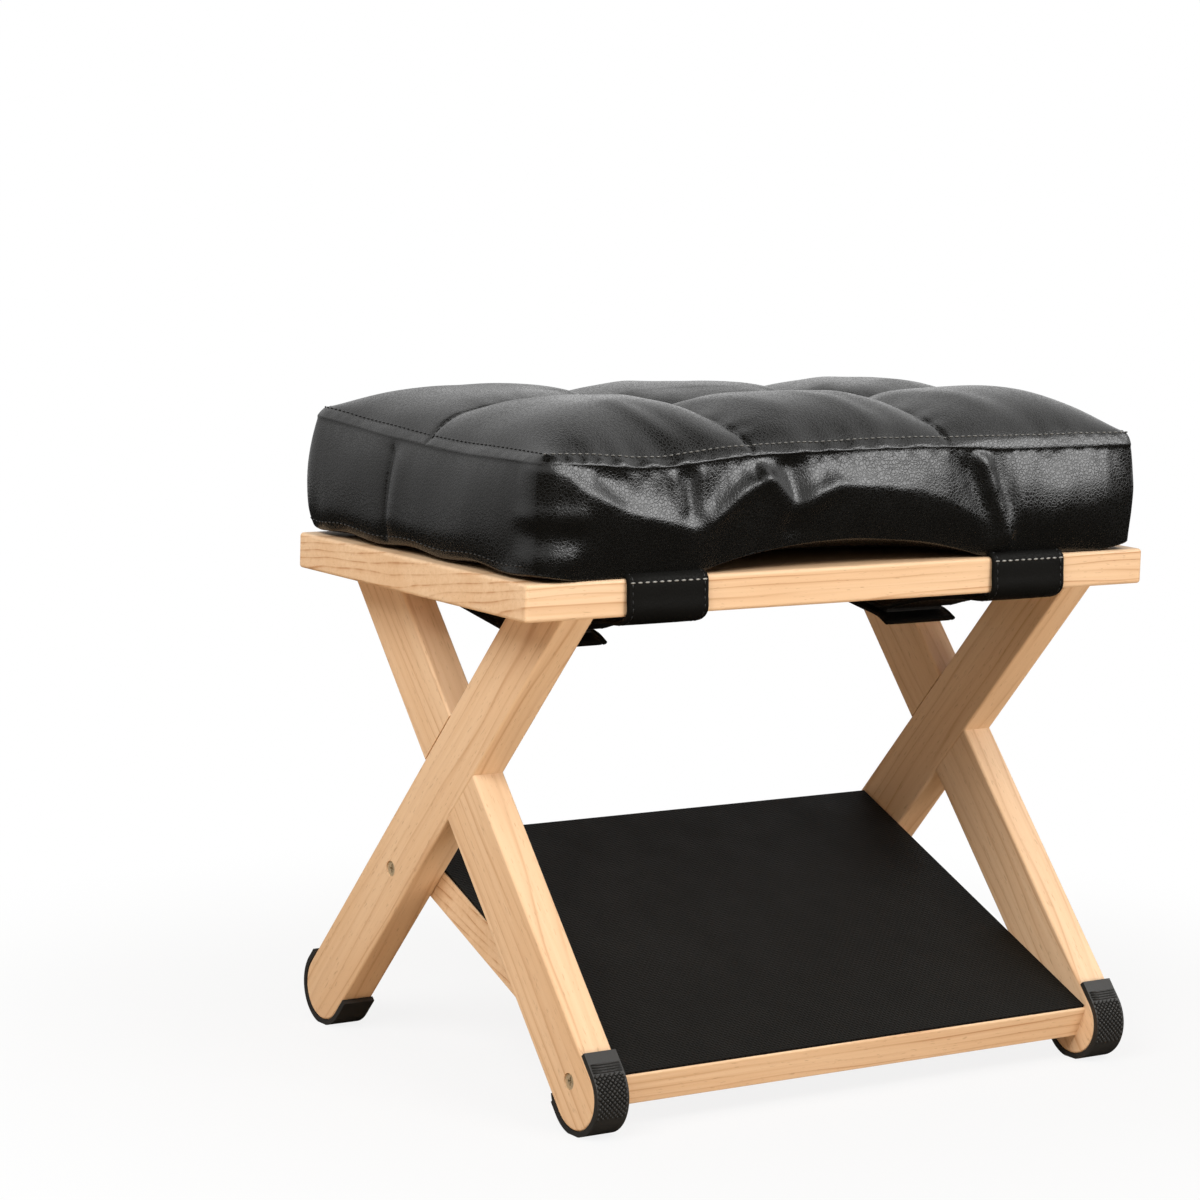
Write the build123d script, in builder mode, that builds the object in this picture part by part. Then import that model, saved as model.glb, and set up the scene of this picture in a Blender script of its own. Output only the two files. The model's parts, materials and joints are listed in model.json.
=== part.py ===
from build123d import *
from math import acos, atan2, cos, degrees, hypot, radians, sin, tan
import os

# Wooden footrest: a top board on two X frames, a slanting footboard between the frames, and a tufted
# cushion strapped to the board. X runs along the board, -Y is the low front of the footboard and Z is up.
# The origin lies on the floor, below the middle of the board. Lengths are in mm and angles in degrees.

# Top board
board_length = 420.0
board_depth = 236.0
board_thickness = 20.0
board_top_height = 290.0
board_edge_radius = 2.0

# Leg frames: two bars each, crossed in a flush halving joint
leg_width = 38.0
leg_thickness = 20.0
leg_edge_radius = 1.5
frame_inset = 29.0  # board end to the outer face of a frame
leg_setback = 8.5  # long edge of the board to the nearest corner of a leg top
foot_spread = 263.5  # centre of a front foot round to the centre of a rear one

# Rubber strips round the leg ends
strip_thickness = 3.0
strip_glue_gap = 0.1
strip_long_run = 13.0
strip_short_run = 7.5
strip_contact_flat = 0.5  # depth of the flat that the rubber stands on

# Footboard and its mat
footboard_thickness = 20.0
footboard_slope = 22.8
footboard_edge_radius = 1.5
footboard_screw_rise = 8.0  # along the leg, from the foot round's centre to the front footboard screw
footboard_screw_edge = 14.0  # long edges of the footboard to its screws
mat_thickness = 1.5
mat_margin = 1.0

# Screws
screw_clearance = 0.1
footboard_screw_radius = 2.25
footboard_screw_length = 40.0  # below the head
footboard_screw_head_radius = 4.5
footboard_screw_head_height = 3.0
footboard_screw_recess = 1.0  # face of the leg to the top of the screw head
board_screw_radius = 2.0
board_screw_head_radius = 4.0
board_screw_bite = 22.0  # depth into the leg
board_screw_pitch = 14.0
screw_tip_height = 3.0
cross_recess_width = 1.4
cross_recess_length = 4.8
cross_recess_depth = 1.5
pilot_spare_depth = 1.0

# Straps: tabs sewn to the cushion turn over the board's long edges, flaps hang below the board
strap_width = 52.0
strap_thickness = 2.7
strap_clearance = 0.3
strap_to_frame = 12.0
strap_tab_length = 18.0  # under the cushion
strap_hinge_gap = 0.35
strap_droop = 9.3
flap_meeting = 1.0  # front flap's tip to the board's middle line
fastener_length = 19.0
fastener_width = 40.0
fastener_thickness = 1.0
fastener_gap = 0.3
fastener_margin = 1.0
strap_tail = 7.0  # free end of the rear flap, past the fastener

# Cushion
cushion_end_margin = 8.0  # board ends to the cushion's ends
cushion_edge_margin = 0.5  # board's long edges to the cushion's sides
cushion_side_height = 67.0
cushion_crown = 23.0
cushion_corner_radius = 14.0
cushion_pull_in = 3.5  # how far each side is drawn in between its corners
cushion_bottom_tuck = 6.0
cushion_top_tuck = 1.5
cushion_belly_height = 14.0  # lower end of the full part of the sides
mid_channel_depth = 6.0
cross_channel_depth = 11.0
tuft_radius = 24.0
tuft_floor_radius = 4.0
tuft_depth = 10.0
arch_width = 190.0  # the front of the cushion lifts off the board in a shallow arch
arch_rise = 13.0
arch_reach = 70.0
arch_shift = 8.0
cover_thickness = 1.5
foam_gap = 0.3

# Places that follow from the sizes above
LEFT, RIGHT = -1, 1
FRONT, REAR = -1, 1
SIDES = {"left": LEFT, "right": RIGHT}
ENDS = {"front": FRONT, "rear": REAR}
board_underside = board_top_height - board_thickness
frame_outer = board_length / 2 - frame_inset
frame_inner = frame_outer - leg_thickness
leg_middle = frame_outer - leg_thickness / 2
foot_radius = leg_width / 2 + strip_glue_gap + strip_thickness
foot_height = foot_radius - strip_contact_flat
foot_y = foot_spread / 2

# A leg runs straight from its foot to the far side of the board, where its top stays inside the edge.
leg_rise = board_underside - foot_height
leg_reach = board_depth / 2 - leg_setback + foot_y
leg_lean = acos(leg_width / 2 / hypot(leg_reach, leg_rise)) - atan2(leg_rise, leg_reach)
leg_top_y = leg_rise * tan(leg_lean) - foot_y
cross_height = foot_height + foot_y / tan(leg_lean)

# The footboard's middle plane passes through a screw on each leg's centre line.
slope = radians(footboard_slope)
front_screw_y = -foot_y + footboard_screw_rise * sin(leg_lean)
front_screw_z = foot_height + footboard_screw_rise * cos(leg_lean)
screw_run = (cross_height - front_screw_z) * tan(leg_lean) - front_screw_y
screw_span = screw_run / (cos(slope) + sin(slope) * tan(leg_lean))
rear_screw_y = front_screw_y + screw_span * cos(slope)
rear_screw_z = front_screw_z + screw_span * sin(slope)
footboard_screws_at = {FRONT: (front_screw_y, front_screw_z), REAR: (rear_screw_y, rear_screw_z)}
footboard_depth = screw_span + 2 * footboard_screw_edge
footboard_plane = Plane(
    origin=(0, front_screw_y, front_screw_z),
    x_dir=(1, 0, 0),
    z_dir=(0, -sin(slope), cos(slope)),
)

# The board's screws cross the leg's centre line halfway down their bite.
board_screw_shift = board_screw_bite * tan(leg_lean) / 2
board_screw_head_height = board_screw_head_radius - board_screw_radius
board_screw_length = board_thickness + board_screw_bite
board_screw_ys = [
    end * (leg_top_y - board_screw_shift + step * board_screw_pitch / 2)
    for end in ENDS.values()
    for step in (-1, 1)
]
board_screws_at = [
    (side * leg_middle, y, board_top_height)
    for side in SIDES.values()
    for y in board_screw_ys
]

# Straps turn on an axis just below and outside the board's edge.
strap_middle = frame_inner - strap_to_frame - strap_width / 2
hinge_y = board_depth / 2 + strap_clearance + strap_thickness / 2
hinge_z = board_underside - strap_thickness
droop = radians(strap_droop)
rear_along = Vector(0, -cos(droop), -sin(droop))
rear_normal = Vector(0, -sin(droop), cos(droop))
flap_lift = strap_thickness + 2 * fastener_thickness + fastener_gap
meeting_run = (hinge_y + flap_meeting - flap_lift * sin(droop)) / cos(droop)
fastener_run = meeting_run + fastener_margin + fastener_length / 2
rear_flap_length = meeting_run + fastener_margin + fastener_length + strap_tail
front_end_length = fastener_length + 2 * fastener_margin
front_bend_run = meeting_run + front_end_length
front_bend = Vector(0, hinge_y, hinge_z) + rear_along * front_bend_run + rear_normal * flap_lift
front_flap_length = hypot(front_bend.Y + hinge_y, hinge_z - front_bend.Z)
front_droop = atan2(hinge_z - front_bend.Z, front_bend.Y + hinge_y)

# Cushion
cushion_half_length = board_length / 2 - cushion_end_margin
cushion_half_depth = board_depth / 2 - cushion_edge_margin
cushion_seam_height = board_top_height + cushion_side_height
cushion_puff_height = cushion_seam_height + cushion_crown
cross_seam_x = cushion_half_length / 3
tuft_floor_height = cushion_puff_height - max(cross_channel_depth, mid_channel_depth) - tuft_depth

os.makedirs("parts", exist_ok=True)


def save(builder, name):
    """Label a finished piece and write its file."""
    builder.part.label = name
    export_step(builder.part, f"parts/{name}.step")


def leg_slot(end):
    """Draw a leg's side view: a bar with a round foot, long enough to pass the board's underside."""
    run = leg_rise / cos(leg_lean) + leg_width
    middle_y = end * (foot_y - run / 2 * sin(leg_lean))
    middle_z = foot_height + run / 2 * cos(leg_lean)
    with Locations((middle_y, middle_z)):
        SlotCenterToCenter(run, leg_width, rotation=90 + end * degrees(leg_lean))


def strap_planes(inward):
    """Planes at the four strap places on the board's top, a distance in from its long edges."""
    return [
        Location((side * strap_middle, end * (board_depth / 2 - inward), board_top_height))
        for side in SIDES.values()
        for end in ENDS.values()
    ]


def cushion_form(inset):
    """The cushion's form, with every face moved in by the inset."""
    half_length = cushion_half_length - inset
    half_depth = cushion_half_depth - inset
    bottom = board_top_height + inset
    seam = cushion_seam_height - inset
    puff = cushion_puff_height - inset
    above = puff + cushion_crown
    top_x = half_length - cushion_top_tuck
    top_y = half_depth - cushion_top_tuck
    outlines = [
        (bottom, cushion_bottom_tuck),
        (board_top_height + cushion_belly_height, 0.0),
        (seam, cushion_top_tuck),
        (above, cushion_top_tuck),
    ]
    with BuildPart() as form:
        # Sides, drawn in between the corners and tucked under at the bottom
        for height, tuck in outlines:
            x = half_length - tuck
            y = half_depth - tuck
            with BuildSketch(Plane.XY.offset(height)) as outline:
                with BuildLine():
                    ThreePointArc((-x, -y), (0, cushion_pull_in - y), (x, -y))
                    ThreePointArc((x, -y), (x - cushion_pull_in, 0), (x, y))
                    ThreePointArc((x, y), (0, y - cushion_pull_in), (-x, y))
                    ThreePointArc((-x, y), (cushion_pull_in - x, 0), (-x, -y))
                make_face()
                fillet(outline.vertices(), cushion_corner_radius)
        loft()
        # Two rows of crowned panels, with a channel along the middle
        with BuildSketch(Plane.YZ):
            with BuildLine():
                Polyline((-top_y, seam), (-board_depth, seam), (-board_depth, 0), (board_depth, 0),
                         (board_depth, seam), (top_y, seam))
                ThreePointArc((top_y, seam), (top_y / 2, puff), (0, puff - mid_channel_depth))
                ThreePointArc((0, puff - mid_channel_depth), (-top_y / 2, puff), (-top_y, seam))
            make_face()
        extrude(amount=board_length, both=True, mode=Mode.INTERSECT)
        # Three columns of crowned panels, with two channels across
        with BuildSketch(Plane.XZ):
            with BuildLine():
                channel = puff - cross_channel_depth
                panel_middle = (top_x + cross_seam_x) / 2
                Polyline((-top_x, seam), (-board_length, seam), (-board_length, 0), (board_length, 0),
                         (board_length, seam), (top_x, seam))
                ThreePointArc((top_x, seam), (panel_middle, puff), (cross_seam_x, channel))
                ThreePointArc((cross_seam_x, channel), (0, puff), (-cross_seam_x, channel))
                ThreePointArc((-cross_seam_x, channel), (-panel_middle, puff), (-top_x, seam))
            make_face()
        extrude(amount=board_depth, both=True, mode=Mode.INTERSECT)
        # Tufts pulled down where the channels cross
        with Locations(*[(side * cross_seam_x, 0, tuft_floor_height - inset) for side in SIDES.values()]):
            Cone(
                tuft_floor_radius,
                tuft_radius,
                cross_channel_depth + tuft_depth,
                align=(Align.CENTER, Align.CENTER, Align.MIN),
                mode=Mode.SUBTRACT,
            )
        # Front edge, lifted off the board in an arch that dies away inwards
        for reach, share in ((-inset, 1.0), (inset + arch_reach, 0.1)):
            half_arch = arch_width / 2 * (1 + share) / 2 + inset
            rise = arch_rise * share + inset
            with BuildSketch(Plane.XZ.offset(board_depth / 2 - reach)):
                with BuildLine():
                    foot_level = board_top_height - rise
                    ThreePointArc(
                        (arch_shift - half_arch, foot_level),
                        (arch_shift, board_top_height + rise),
                        (arch_shift + half_arch, foot_level),
                    )
                    Line((arch_shift + half_arch, foot_level), (arch_shift - half_arch, foot_level))
                make_face()
        loft(mode=Mode.SUBTRACT)
        # Seats for the strap tabs, which are sewn under the edge
        with Locations(*strap_planes(strap_tab_length + strap_clearance + inset)):
            Box(
                strap_width + 2 * (strap_clearance + inset),
                2 * (strap_tab_length + strap_clearance + inset),
                2 * (strap_thickness + strap_clearance + inset),
                mode=Mode.SUBTRACT,
            )
    return form.part


# Top board
with BuildPart() as top_board:
    with Locations((0, 0, board_top_height)):
        Box(board_length, board_depth, board_thickness, align=(Align.CENTER, Align.CENTER, Align.MAX))
    fillet(top_board.edges(), board_edge_radius)
    with Locations(*board_screws_at):
        CounterSinkHole(
            board_screw_radius + screw_clearance,
            board_screw_head_radius + screw_clearance,
            counter_sink_angle=90,
        )
save(top_board, "top_board")

# Legs and their foot strips
for side_name, side in SIDES.items():
    for end_name, end in ENDS.items():
        leg_plane = Plane.YZ.offset(side * leg_middle)
        with BuildPart() as leg:
            with BuildSketch(leg_plane):
                leg_slot(end)
                with Locations((0, board_underside)):
                    Rectangle(
                        2 * foot_spread,
                        2 * leg_width,
                        align=(Align.CENTER, Align.MIN),
                        mode=Mode.SUBTRACT,
                    )
            extrude(amount=leg_thickness / 2, both=True)
            rims = leg.faces().filter_by(Axis.X).edges()
            below_board = rims.filter_by(lambda rim: rim.center().Z < board_underside - leg_edge_radius)
            fillet(below_board, leg_edge_radius)
            # Half the thickness makes room for the other bar. Each frame is the other, turned round.
            with BuildSketch(leg_plane):
                leg_slot(-end)
            extrude(amount=end * leg_thickness / 2, mode=Mode.SUBTRACT)
            screw_y, screw_z = footboard_screws_at[end]
            with Locations(Plane(origin=(side * frame_outer, screw_y, screw_z), z_dir=(side, 0, 0))):
                CounterBoreHole(
                    footboard_screw_radius + screw_clearance,
                    footboard_screw_head_radius + screw_clearance,
                    footboard_screw_recess + footboard_screw_head_height,
                    leg_thickness,
                )
            tops = [y for y in board_screw_ys if y * end < 0]
            with Locations(*[(side * leg_middle, y, board_underside) for y in tops]):
                Hole(board_screw_radius + screw_clearance, board_screw_bite + pilot_spare_depth)
        save(leg, f"{side_name}_{end_name}_leg")

        # The strip follows the leg's front face, its round end and its rear face.
        strip_inner = leg_width / 2 + strip_glue_gap
        strip_plane = Plane(
            origin=(side * leg_middle, end * foot_y, foot_height),
            x_dir=(0, -end * sin(leg_lean), cos(leg_lean)),
            z_dir=(1, 0, 0),
        )
        with BuildPart() as foot_strip:
            with BuildSketch(strip_plane):
                Circle(foot_radius)
                for run, face in ((strip_long_run, 1), (strip_short_run, -1)):
                    with Locations((0, face * foot_radius / 2)):
                        Rectangle(run, foot_radius, align=(Align.MIN, Align.CENTER))
                Circle(strip_inner, mode=Mode.SUBTRACT)
                Rectangle(
                    2 * foot_spread,
                    2 * strip_inner,
                    align=(Align.MIN, Align.CENTER),
                    mode=Mode.SUBTRACT,
                )
            extrude(amount=leg_thickness / 2, both=True)
            split(bisect_by=Plane.XY, keep=Keep.TOP)
        save(foot_strip, f"{side_name}_{end_name}_foot_strip")

# Footboard
with BuildPart(footboard_plane) as footboard:
    with Locations((0, -footboard_screw_edge, 0)):
        Box(
            2 * frame_inner,
            footboard_depth,
            footboard_thickness,
            align=(Align.CENTER, Align.MIN, Align.CENTER),
        )
    fillet(footboard.edges().filter_by(Axis.X), footboard_edge_radius)
    end_holes = [
        Location((side * frame_inner, y, 0), (0, side * 90, 0))
        for side in SIDES.values()
        for y in (0, screw_span)
    ]
    with Locations(*end_holes):
        Hole(
            footboard_screw_radius + screw_clearance,
            footboard_screw_length - leg_thickness + footboard_screw_recess + footboard_screw_head_height
            + pilot_spare_depth,
        )
save(footboard, "footboard")

# Mat glued to the footboard
with BuildPart(footboard_plane) as footboard_mat:
    with Locations((0, mat_margin - footboard_screw_edge, footboard_thickness / 2)):
        Box(
            2 * (frame_inner - mat_margin),
            footboard_depth - 2 * mat_margin,
            mat_thickness,
            align=(Align.CENTER, Align.MIN, Align.MIN),
        )
save(footboard_mat, "footboard_mat")

# Screws through the frames into the footboard's ends
with BuildPart() as footboard_screws:
    heads = [
        Plane(origin=(side * (frame_outer - footboard_screw_recess), y, z), z_dir=(side, 0, 0))
        for side in SIDES.values()
        for y, z in footboard_screws_at.values()
    ]
    shank = footboard_screw_length - screw_tip_height
    with Locations(*heads):
        Cylinder(
            footboard_screw_head_radius,
            footboard_screw_head_height,
            align=(Align.CENTER, Align.CENTER, Align.MAX),
        )
        with Locations((0, 0, -footboard_screw_head_height)):
            Cylinder(footboard_screw_radius, shank, align=(Align.CENTER, Align.CENTER, Align.MAX))
        with Locations((0, 0, -footboard_screw_head_height - shank)):
            Cone(
                footboard_screw_radius / 4,
                footboard_screw_radius,
                screw_tip_height,
                align=(Align.CENTER, Align.CENTER, Align.MAX),
            )
        for length, width in (
            (cross_recess_length, cross_recess_width),
            (cross_recess_width, cross_recess_length),
        ):
            Box(length, width, 2 * cross_recess_depth, mode=Mode.SUBTRACT)
save(footboard_screws, "footboard_screws")

# Screws down through the top board into the leg tops
with BuildPart() as board_screws:
    shank = board_screw_length - board_screw_head_height - screw_tip_height
    with Locations(*board_screws_at):
        Cone(
            board_screw_radius,
            board_screw_head_radius,
            board_screw_head_height,
            align=(Align.CENTER, Align.CENTER, Align.MAX),
        )
        with Locations((0, 0, -board_screw_head_height)):
            Cylinder(board_screw_radius, shank, align=(Align.CENTER, Align.CENTER, Align.MAX))
        with Locations((0, 0, -board_screw_head_height - shank)):
            Cone(
                board_screw_radius / 4,
                board_screw_radius,
                screw_tip_height,
                align=(Align.CENTER, Align.CENTER, Align.MAX),
            )
        for length, width in (
            (cross_recess_length, cross_recess_width),
            (cross_recess_width, cross_recess_length),
        ):
            Box(length, width, 2 * cross_recess_depth, mode=Mode.SUBTRACT)
save(board_screws, "board_screws")

# Straps
for side_name, side in SIDES.items():
    strap_x = side * strap_middle
    for end_name, end in ENDS.items():
        # Tab under the cushion, turned down over the board's edge
        with BuildPart() as strap:
            with BuildLine(Plane.YZ.offset(strap_x)) as path:
                tab_level = board_top_height + strap_thickness / 2
                FilletPolyline(
                    (end * (board_depth / 2 - strap_tab_length), tab_level),
                    (end * hinge_y, tab_level),
                    (end * hinge_y, hinge_z + strap_thickness / 2 + strap_hinge_gap),
                    radius=board_edge_radius + strap_clearance + strap_thickness / 2,
                )
            with BuildSketch(Plane(origin=path.line @ 0, x_dir=(1, 0, 0), z_dir=path.line % 0)):
                Rectangle(strap_width, strap_thickness)
            sweep()
        save(strap, f"{side_name}_{end_name}_strap")

    # Rear flap, straight, with a round edge on its hinge line
    rear_hinge = Vector(strap_x, hinge_y, hinge_z)
    with BuildPart() as rear_flap:
        with BuildSketch(Plane(origin=rear_hinge, x_dir=rear_along, z_dir=(1, 0, 0))):
            Circle(strap_thickness / 2)
            Rectangle(rear_flap_length, strap_thickness, align=(Align.MIN, Align.CENTER))
        extrude(amount=strap_width / 2, both=True)
    save(rear_flap, f"{side_name}_rear_strap_flap")

    # Front flap, whose end turns up to lie along the rear flap
    front_along = (0, cos(front_droop), -sin(front_droop))
    with BuildPart() as front_flap:
        with BuildSketch(Plane(origin=(strap_x, -hinge_y, hinge_z), x_dir=front_along, z_dir=(1, 0, 0))):
            Circle(strap_thickness / 2)
            Rectangle(front_flap_length, strap_thickness, align=(Align.MIN, Align.CENTER))
            with Locations((front_flap_length, 0)):
                Circle(strap_thickness / 2)
                Rectangle(
                    front_end_length,
                    strap_thickness,
                    rotation=degrees(front_droop) + strap_droop,
                    align=(Align.MIN, Align.CENTER),
                )
        extrude(amount=strap_width / 2, both=True)
    save(front_flap, f"{side_name}_front_strap_flap")

    # Hook patch on the rear flap and loop patch on the front flap, face to face
    hook_height = strap_thickness / 2
    loop_height = hook_height + fastener_thickness + fastener_gap
    for patch_name, height in (("hook", hook_height), ("loop", loop_height)):
        patch_middle = rear_hinge + rear_along * fastener_run + rear_normal * height
        with BuildPart() as patch:
            with BuildSketch(Plane(origin=patch_middle, x_dir=rear_along, z_dir=rear_normal)):
                RectangleRounded(fastener_length, fastener_width, fastener_margin)
            extrude(amount=fastener_thickness)
        save(patch, f"{side_name}_{patch_name}_patch")

# Cushion cover, a closed sewn skin, and the foam inside it
with BuildPart() as cushion_cover:
    add(cushion_form(0.0))
    add(cushion_form(cover_thickness), mode=Mode.SUBTRACT)
save(cushion_cover, "cushion_cover")

with BuildPart() as cushion_foam:
    add(cushion_form(cover_thickness + foam_gap))
save(cushion_foam, "cushion_foam")
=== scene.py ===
"""Looks of a wooden footrest with a strapped-on cushion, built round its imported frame.

Lengths are in metres. X runs along the top board, -Y is the low front of the footboard and Z is up.
"""
import json
import logging
import math
from dataclasses import dataclass
from enum import Enum
from typing import Callable, Iterable, Sequence

import bpy
import numpy as np
from bpy.types import Material, Mesh, Node, NodeSocket, NodeTree, Object
from mathutils import Matrix, Vector, noise


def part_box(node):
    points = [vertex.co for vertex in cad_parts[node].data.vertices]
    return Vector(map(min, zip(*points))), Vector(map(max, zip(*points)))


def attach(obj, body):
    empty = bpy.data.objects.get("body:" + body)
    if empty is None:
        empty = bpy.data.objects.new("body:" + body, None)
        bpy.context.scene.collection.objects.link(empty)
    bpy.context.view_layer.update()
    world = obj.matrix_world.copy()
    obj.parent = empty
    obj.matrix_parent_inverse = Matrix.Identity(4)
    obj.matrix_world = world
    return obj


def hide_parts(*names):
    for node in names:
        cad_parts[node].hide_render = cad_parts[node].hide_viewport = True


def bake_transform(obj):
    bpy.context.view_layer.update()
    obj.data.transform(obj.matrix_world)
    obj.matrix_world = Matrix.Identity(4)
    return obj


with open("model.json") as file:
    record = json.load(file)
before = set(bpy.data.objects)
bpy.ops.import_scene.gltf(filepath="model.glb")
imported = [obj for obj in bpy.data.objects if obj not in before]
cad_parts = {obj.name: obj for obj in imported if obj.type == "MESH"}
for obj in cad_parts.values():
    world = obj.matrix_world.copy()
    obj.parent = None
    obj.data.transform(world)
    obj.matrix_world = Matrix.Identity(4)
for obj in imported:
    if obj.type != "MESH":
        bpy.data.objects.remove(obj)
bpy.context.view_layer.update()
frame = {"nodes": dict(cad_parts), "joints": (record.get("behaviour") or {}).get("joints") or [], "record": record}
log = logging.getLogger("footrest")

Point = tuple[float, float, float]
Colour = tuple[float, float, float]
Span = tuple[float, float]
Table = tuple[tuple[float, float], ...]
LEG_LEAN = math.radians(41.018)
WHITE = (1.0, 1.0, 1.0, 1.0)


class Side(Enum):
    """Left and right, as signs along X."""

    LEFT = -1
    RIGHT = 1

    @property
    def word(self) -> str:
        """The side's name in the frame's nodes."""
        return self.name.lower()


class End(Enum):
    """Front and rear, as signs along Y."""

    FRONT = -1
    REAR = 1

    @property
    def word(self) -> str:
        """The end's name in the frame's nodes."""
        return self.name.lower()


CORNERS = [(side, end, f"{side.word}_{end.word}") for side in Side for end in End]


class Grain(Enum):
    """Which way a piece's grain runs, with the direction across its growth lines."""

    ALONG_BOARD = (0.0, 0.12, 1.0)
    ALONG_LEG = (0.0, 0.55, 0.83)


class Seam(Enum):
    """Sewn lines of the cushion's cover."""

    MIDDLE = "along the middle of the top"
    LEFT_CROSS = "across the top, left"
    RIGHT_CROSS = "across the top, right"
    BAND_FRONT = "upper edge of the band, front"
    BAND_TOP = "upper edge of the band, ends and rear"
    BAND_LOW = "lower edge of the band"
    HEM = "low round the ends and the rear"


class Task(Enum):
    """What a lamp is for."""

    LIGHT = "lights surfaces"
    MIRROR = "shows in glossy surfaces"


# Small helpers for node trees and meshes


def add_node(tree: NodeTree, kind: str, values: dict | None = None, links: dict | None = None,
             **settings: object) -> Node:
    """Add a node to a tree.

    Args:
        tree: The node tree.
        kind: The node's type name.
        values: Constant values by input name or number.
        links: Sockets to join to inputs, by input name or number.
        settings: Properties of the node itself.

    Returns:
        The new node.
    """
    node = tree.nodes.new(kind)
    for name, value in settings.items():
        setattr(node, name, value)
    for key, value in (values or {}).items():
        node.inputs[key].default_value = value
    for key, socket in (links or {}).items():
        tree.links.new(socket, node.inputs[key])
    return node


def math_node(tree: NodeTree, operation: str, *values: NodeSocket | float) -> NodeSocket:
    """Add a Math node.

    Args:
        tree: The node tree.
        operation: The sum to do.
        values: A socket or a number for each input.

    Returns:
        The node's output socket.
    """
    node = add_node(tree, "ShaderNodeMath", operation=operation)
    for number, value in enumerate(values):
        if isinstance(value, NodeSocket):
            tree.links.new(value, node.inputs[number])
        else:
            node.inputs[number].default_value = value
    return node.outputs[0]


def ranged(tree: NodeTree, value: NodeSocket, source: Span = (0.0, 1.0), target: Span = (0.0, 1.0),
           interpolation: str = "LINEAR") -> NodeSocket:
    """Map a value from one range to another and hold it there.

    Args:
        tree: The node tree.
        value: The value's socket.
        source: The range that it comes from.
        target: The range that it goes to.
        interpolation: How it runs between the ends.

    Returns:
        The mapped value's socket.
    """
    ends = {"From Min": source[0], "From Max": source[1], "To Min": target[0], "To Max": target[1]}
    node = add_node(tree, "ShaderNodeMapRange", ends, {"Value": value}, interpolation_type=interpolation)
    return node.outputs[0]


def stretched_noise(tree: NodeTree, vector: NodeSocket, stretch: Point, detail: float,
                    roughness: float = 0.5) -> NodeSocket:
    """Add a noise whose patches are drawn out along an axis.

    Args:
        tree: The node tree.
        vector: Where the noise is read.
        stretch: Patches to the metre along each axis.
        detail: How many finer layers it has.
        roughness: How strong these are.

    Returns:
        The noise's socket.
    """
    scaled = add_node(tree, "ShaderNodeMapping", {"Scale": stretch}, {"Vector": vector})
    values = {"Scale": 1.0, "Detail": detail, "Roughness": roughness}
    return add_node(tree, "ShaderNodeTexNoise", values, {"Vector": scaled.outputs[0]}).outputs["Fac"]


def tint(tree: NodeTree, factor: NodeSocket, below: NodeSocket | Colour, above: Colour) -> NodeSocket:
    """Mix a colour over another.

    Args:
        tree: The node tree.
        factor: How much of the upper colour shows.
        below: The lower colour, a socket or a value.
        above: The upper colour.

    Returns:
        The mixed colour socket.
    """
    node = add_node(tree, "ShaderNodeMix", {7: (*above, 1.0)}, {0: factor}, data_type="RGBA")
    if isinstance(below, NodeSocket):
        tree.links.new(below, node.inputs[6])
    else:
        node.inputs[6].default_value = (*below, 1.0)
    return node.outputs[2]


def bump(tree: NodeTree, shader: Node, height: NodeSocket, distance: float, strength: float) -> None:
    """Raise a shader's surface by a height.

    Args:
        tree: The node tree.
        shader: The shader whose normal is bent.
        height: The height's socket, from 0 to about 1.
        distance: What a height of 1 stands for, in metres.
        strength: The share of it that shows.
    """
    node = add_node(tree, "ShaderNodeBump", {"Strength": strength, "Distance": distance}, {"Height": height})
    tree.links.new(node.outputs[0], shader.inputs["Normal"])


def grey(value: float) -> Colour:
    """A neutral colour of one value."""
    return value, value, value


def new_material(name: str) -> tuple[Material, NodeTree, Node]:
    """Start a material.

    Args:
        name: The material's name.

    Returns:
        The material, its node tree and its Principled shader.
    """
    material = bpy.data.materials.new(name)
    material.use_nodes = True
    return material, material.node_tree, material.node_tree.nodes["Principled BSDF"]


def new_piece(name: str, points: np.ndarray, faces: Sequence[Sequence[int]], smooth: bool = True) -> Object:
    """Make a mesh object at the origin.

    Args:
        name: The piece's name.
        points: One row of three coordinates for each vertex.
        faces: Vertex numbers of each face.
        smooth: Whether its faces are shaded smooth.

    Returns:
        The new object, linked to the scene.
    """
    mesh = bpy.data.meshes.new(name)
    mesh.from_pydata([tuple(map(float, point)) for point in points], [],
                     [tuple(map(int, face)) for face in faces])
    mesh.polygons.foreach_set("use_smooth", [smooth] * len(mesh.polygons))
    mesh.update()
    return link(bpy.data.objects.new(name, mesh))


def link(thing: Object) -> Object:
    """Put an object in the scene and give it back."""
    bpy.context.scene.collection.objects.link(thing)
    return thing


def dress(piece: Object, material: Material) -> None:
    """Give a piece one material in every slot."""
    if not piece.data.materials:
        piece.data.materials.append(material)
    for number in range(len(piece.data.materials)):
        piece.data.materials[number] = material


def hand_over(piece: Object, body: str) -> None:
    """Make a piece ride on a body and report it.

    Args:
        piece: The finished piece.
        body: The body that it moves with.
    """
    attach(piece, body)
    log.info("%s: %d faces", piece.name, len(piece.data.polygons))


def smoothstep(low: float, high: float, value: np.ndarray) -> np.ndarray:
    """Rise smoothly from 0 at low to 1 at high."""
    share = np.clip((value - low) / (high - low), 0, 1)
    return share * share * (3 - 2 * share)


# Shader groups that several finishes share


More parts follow.
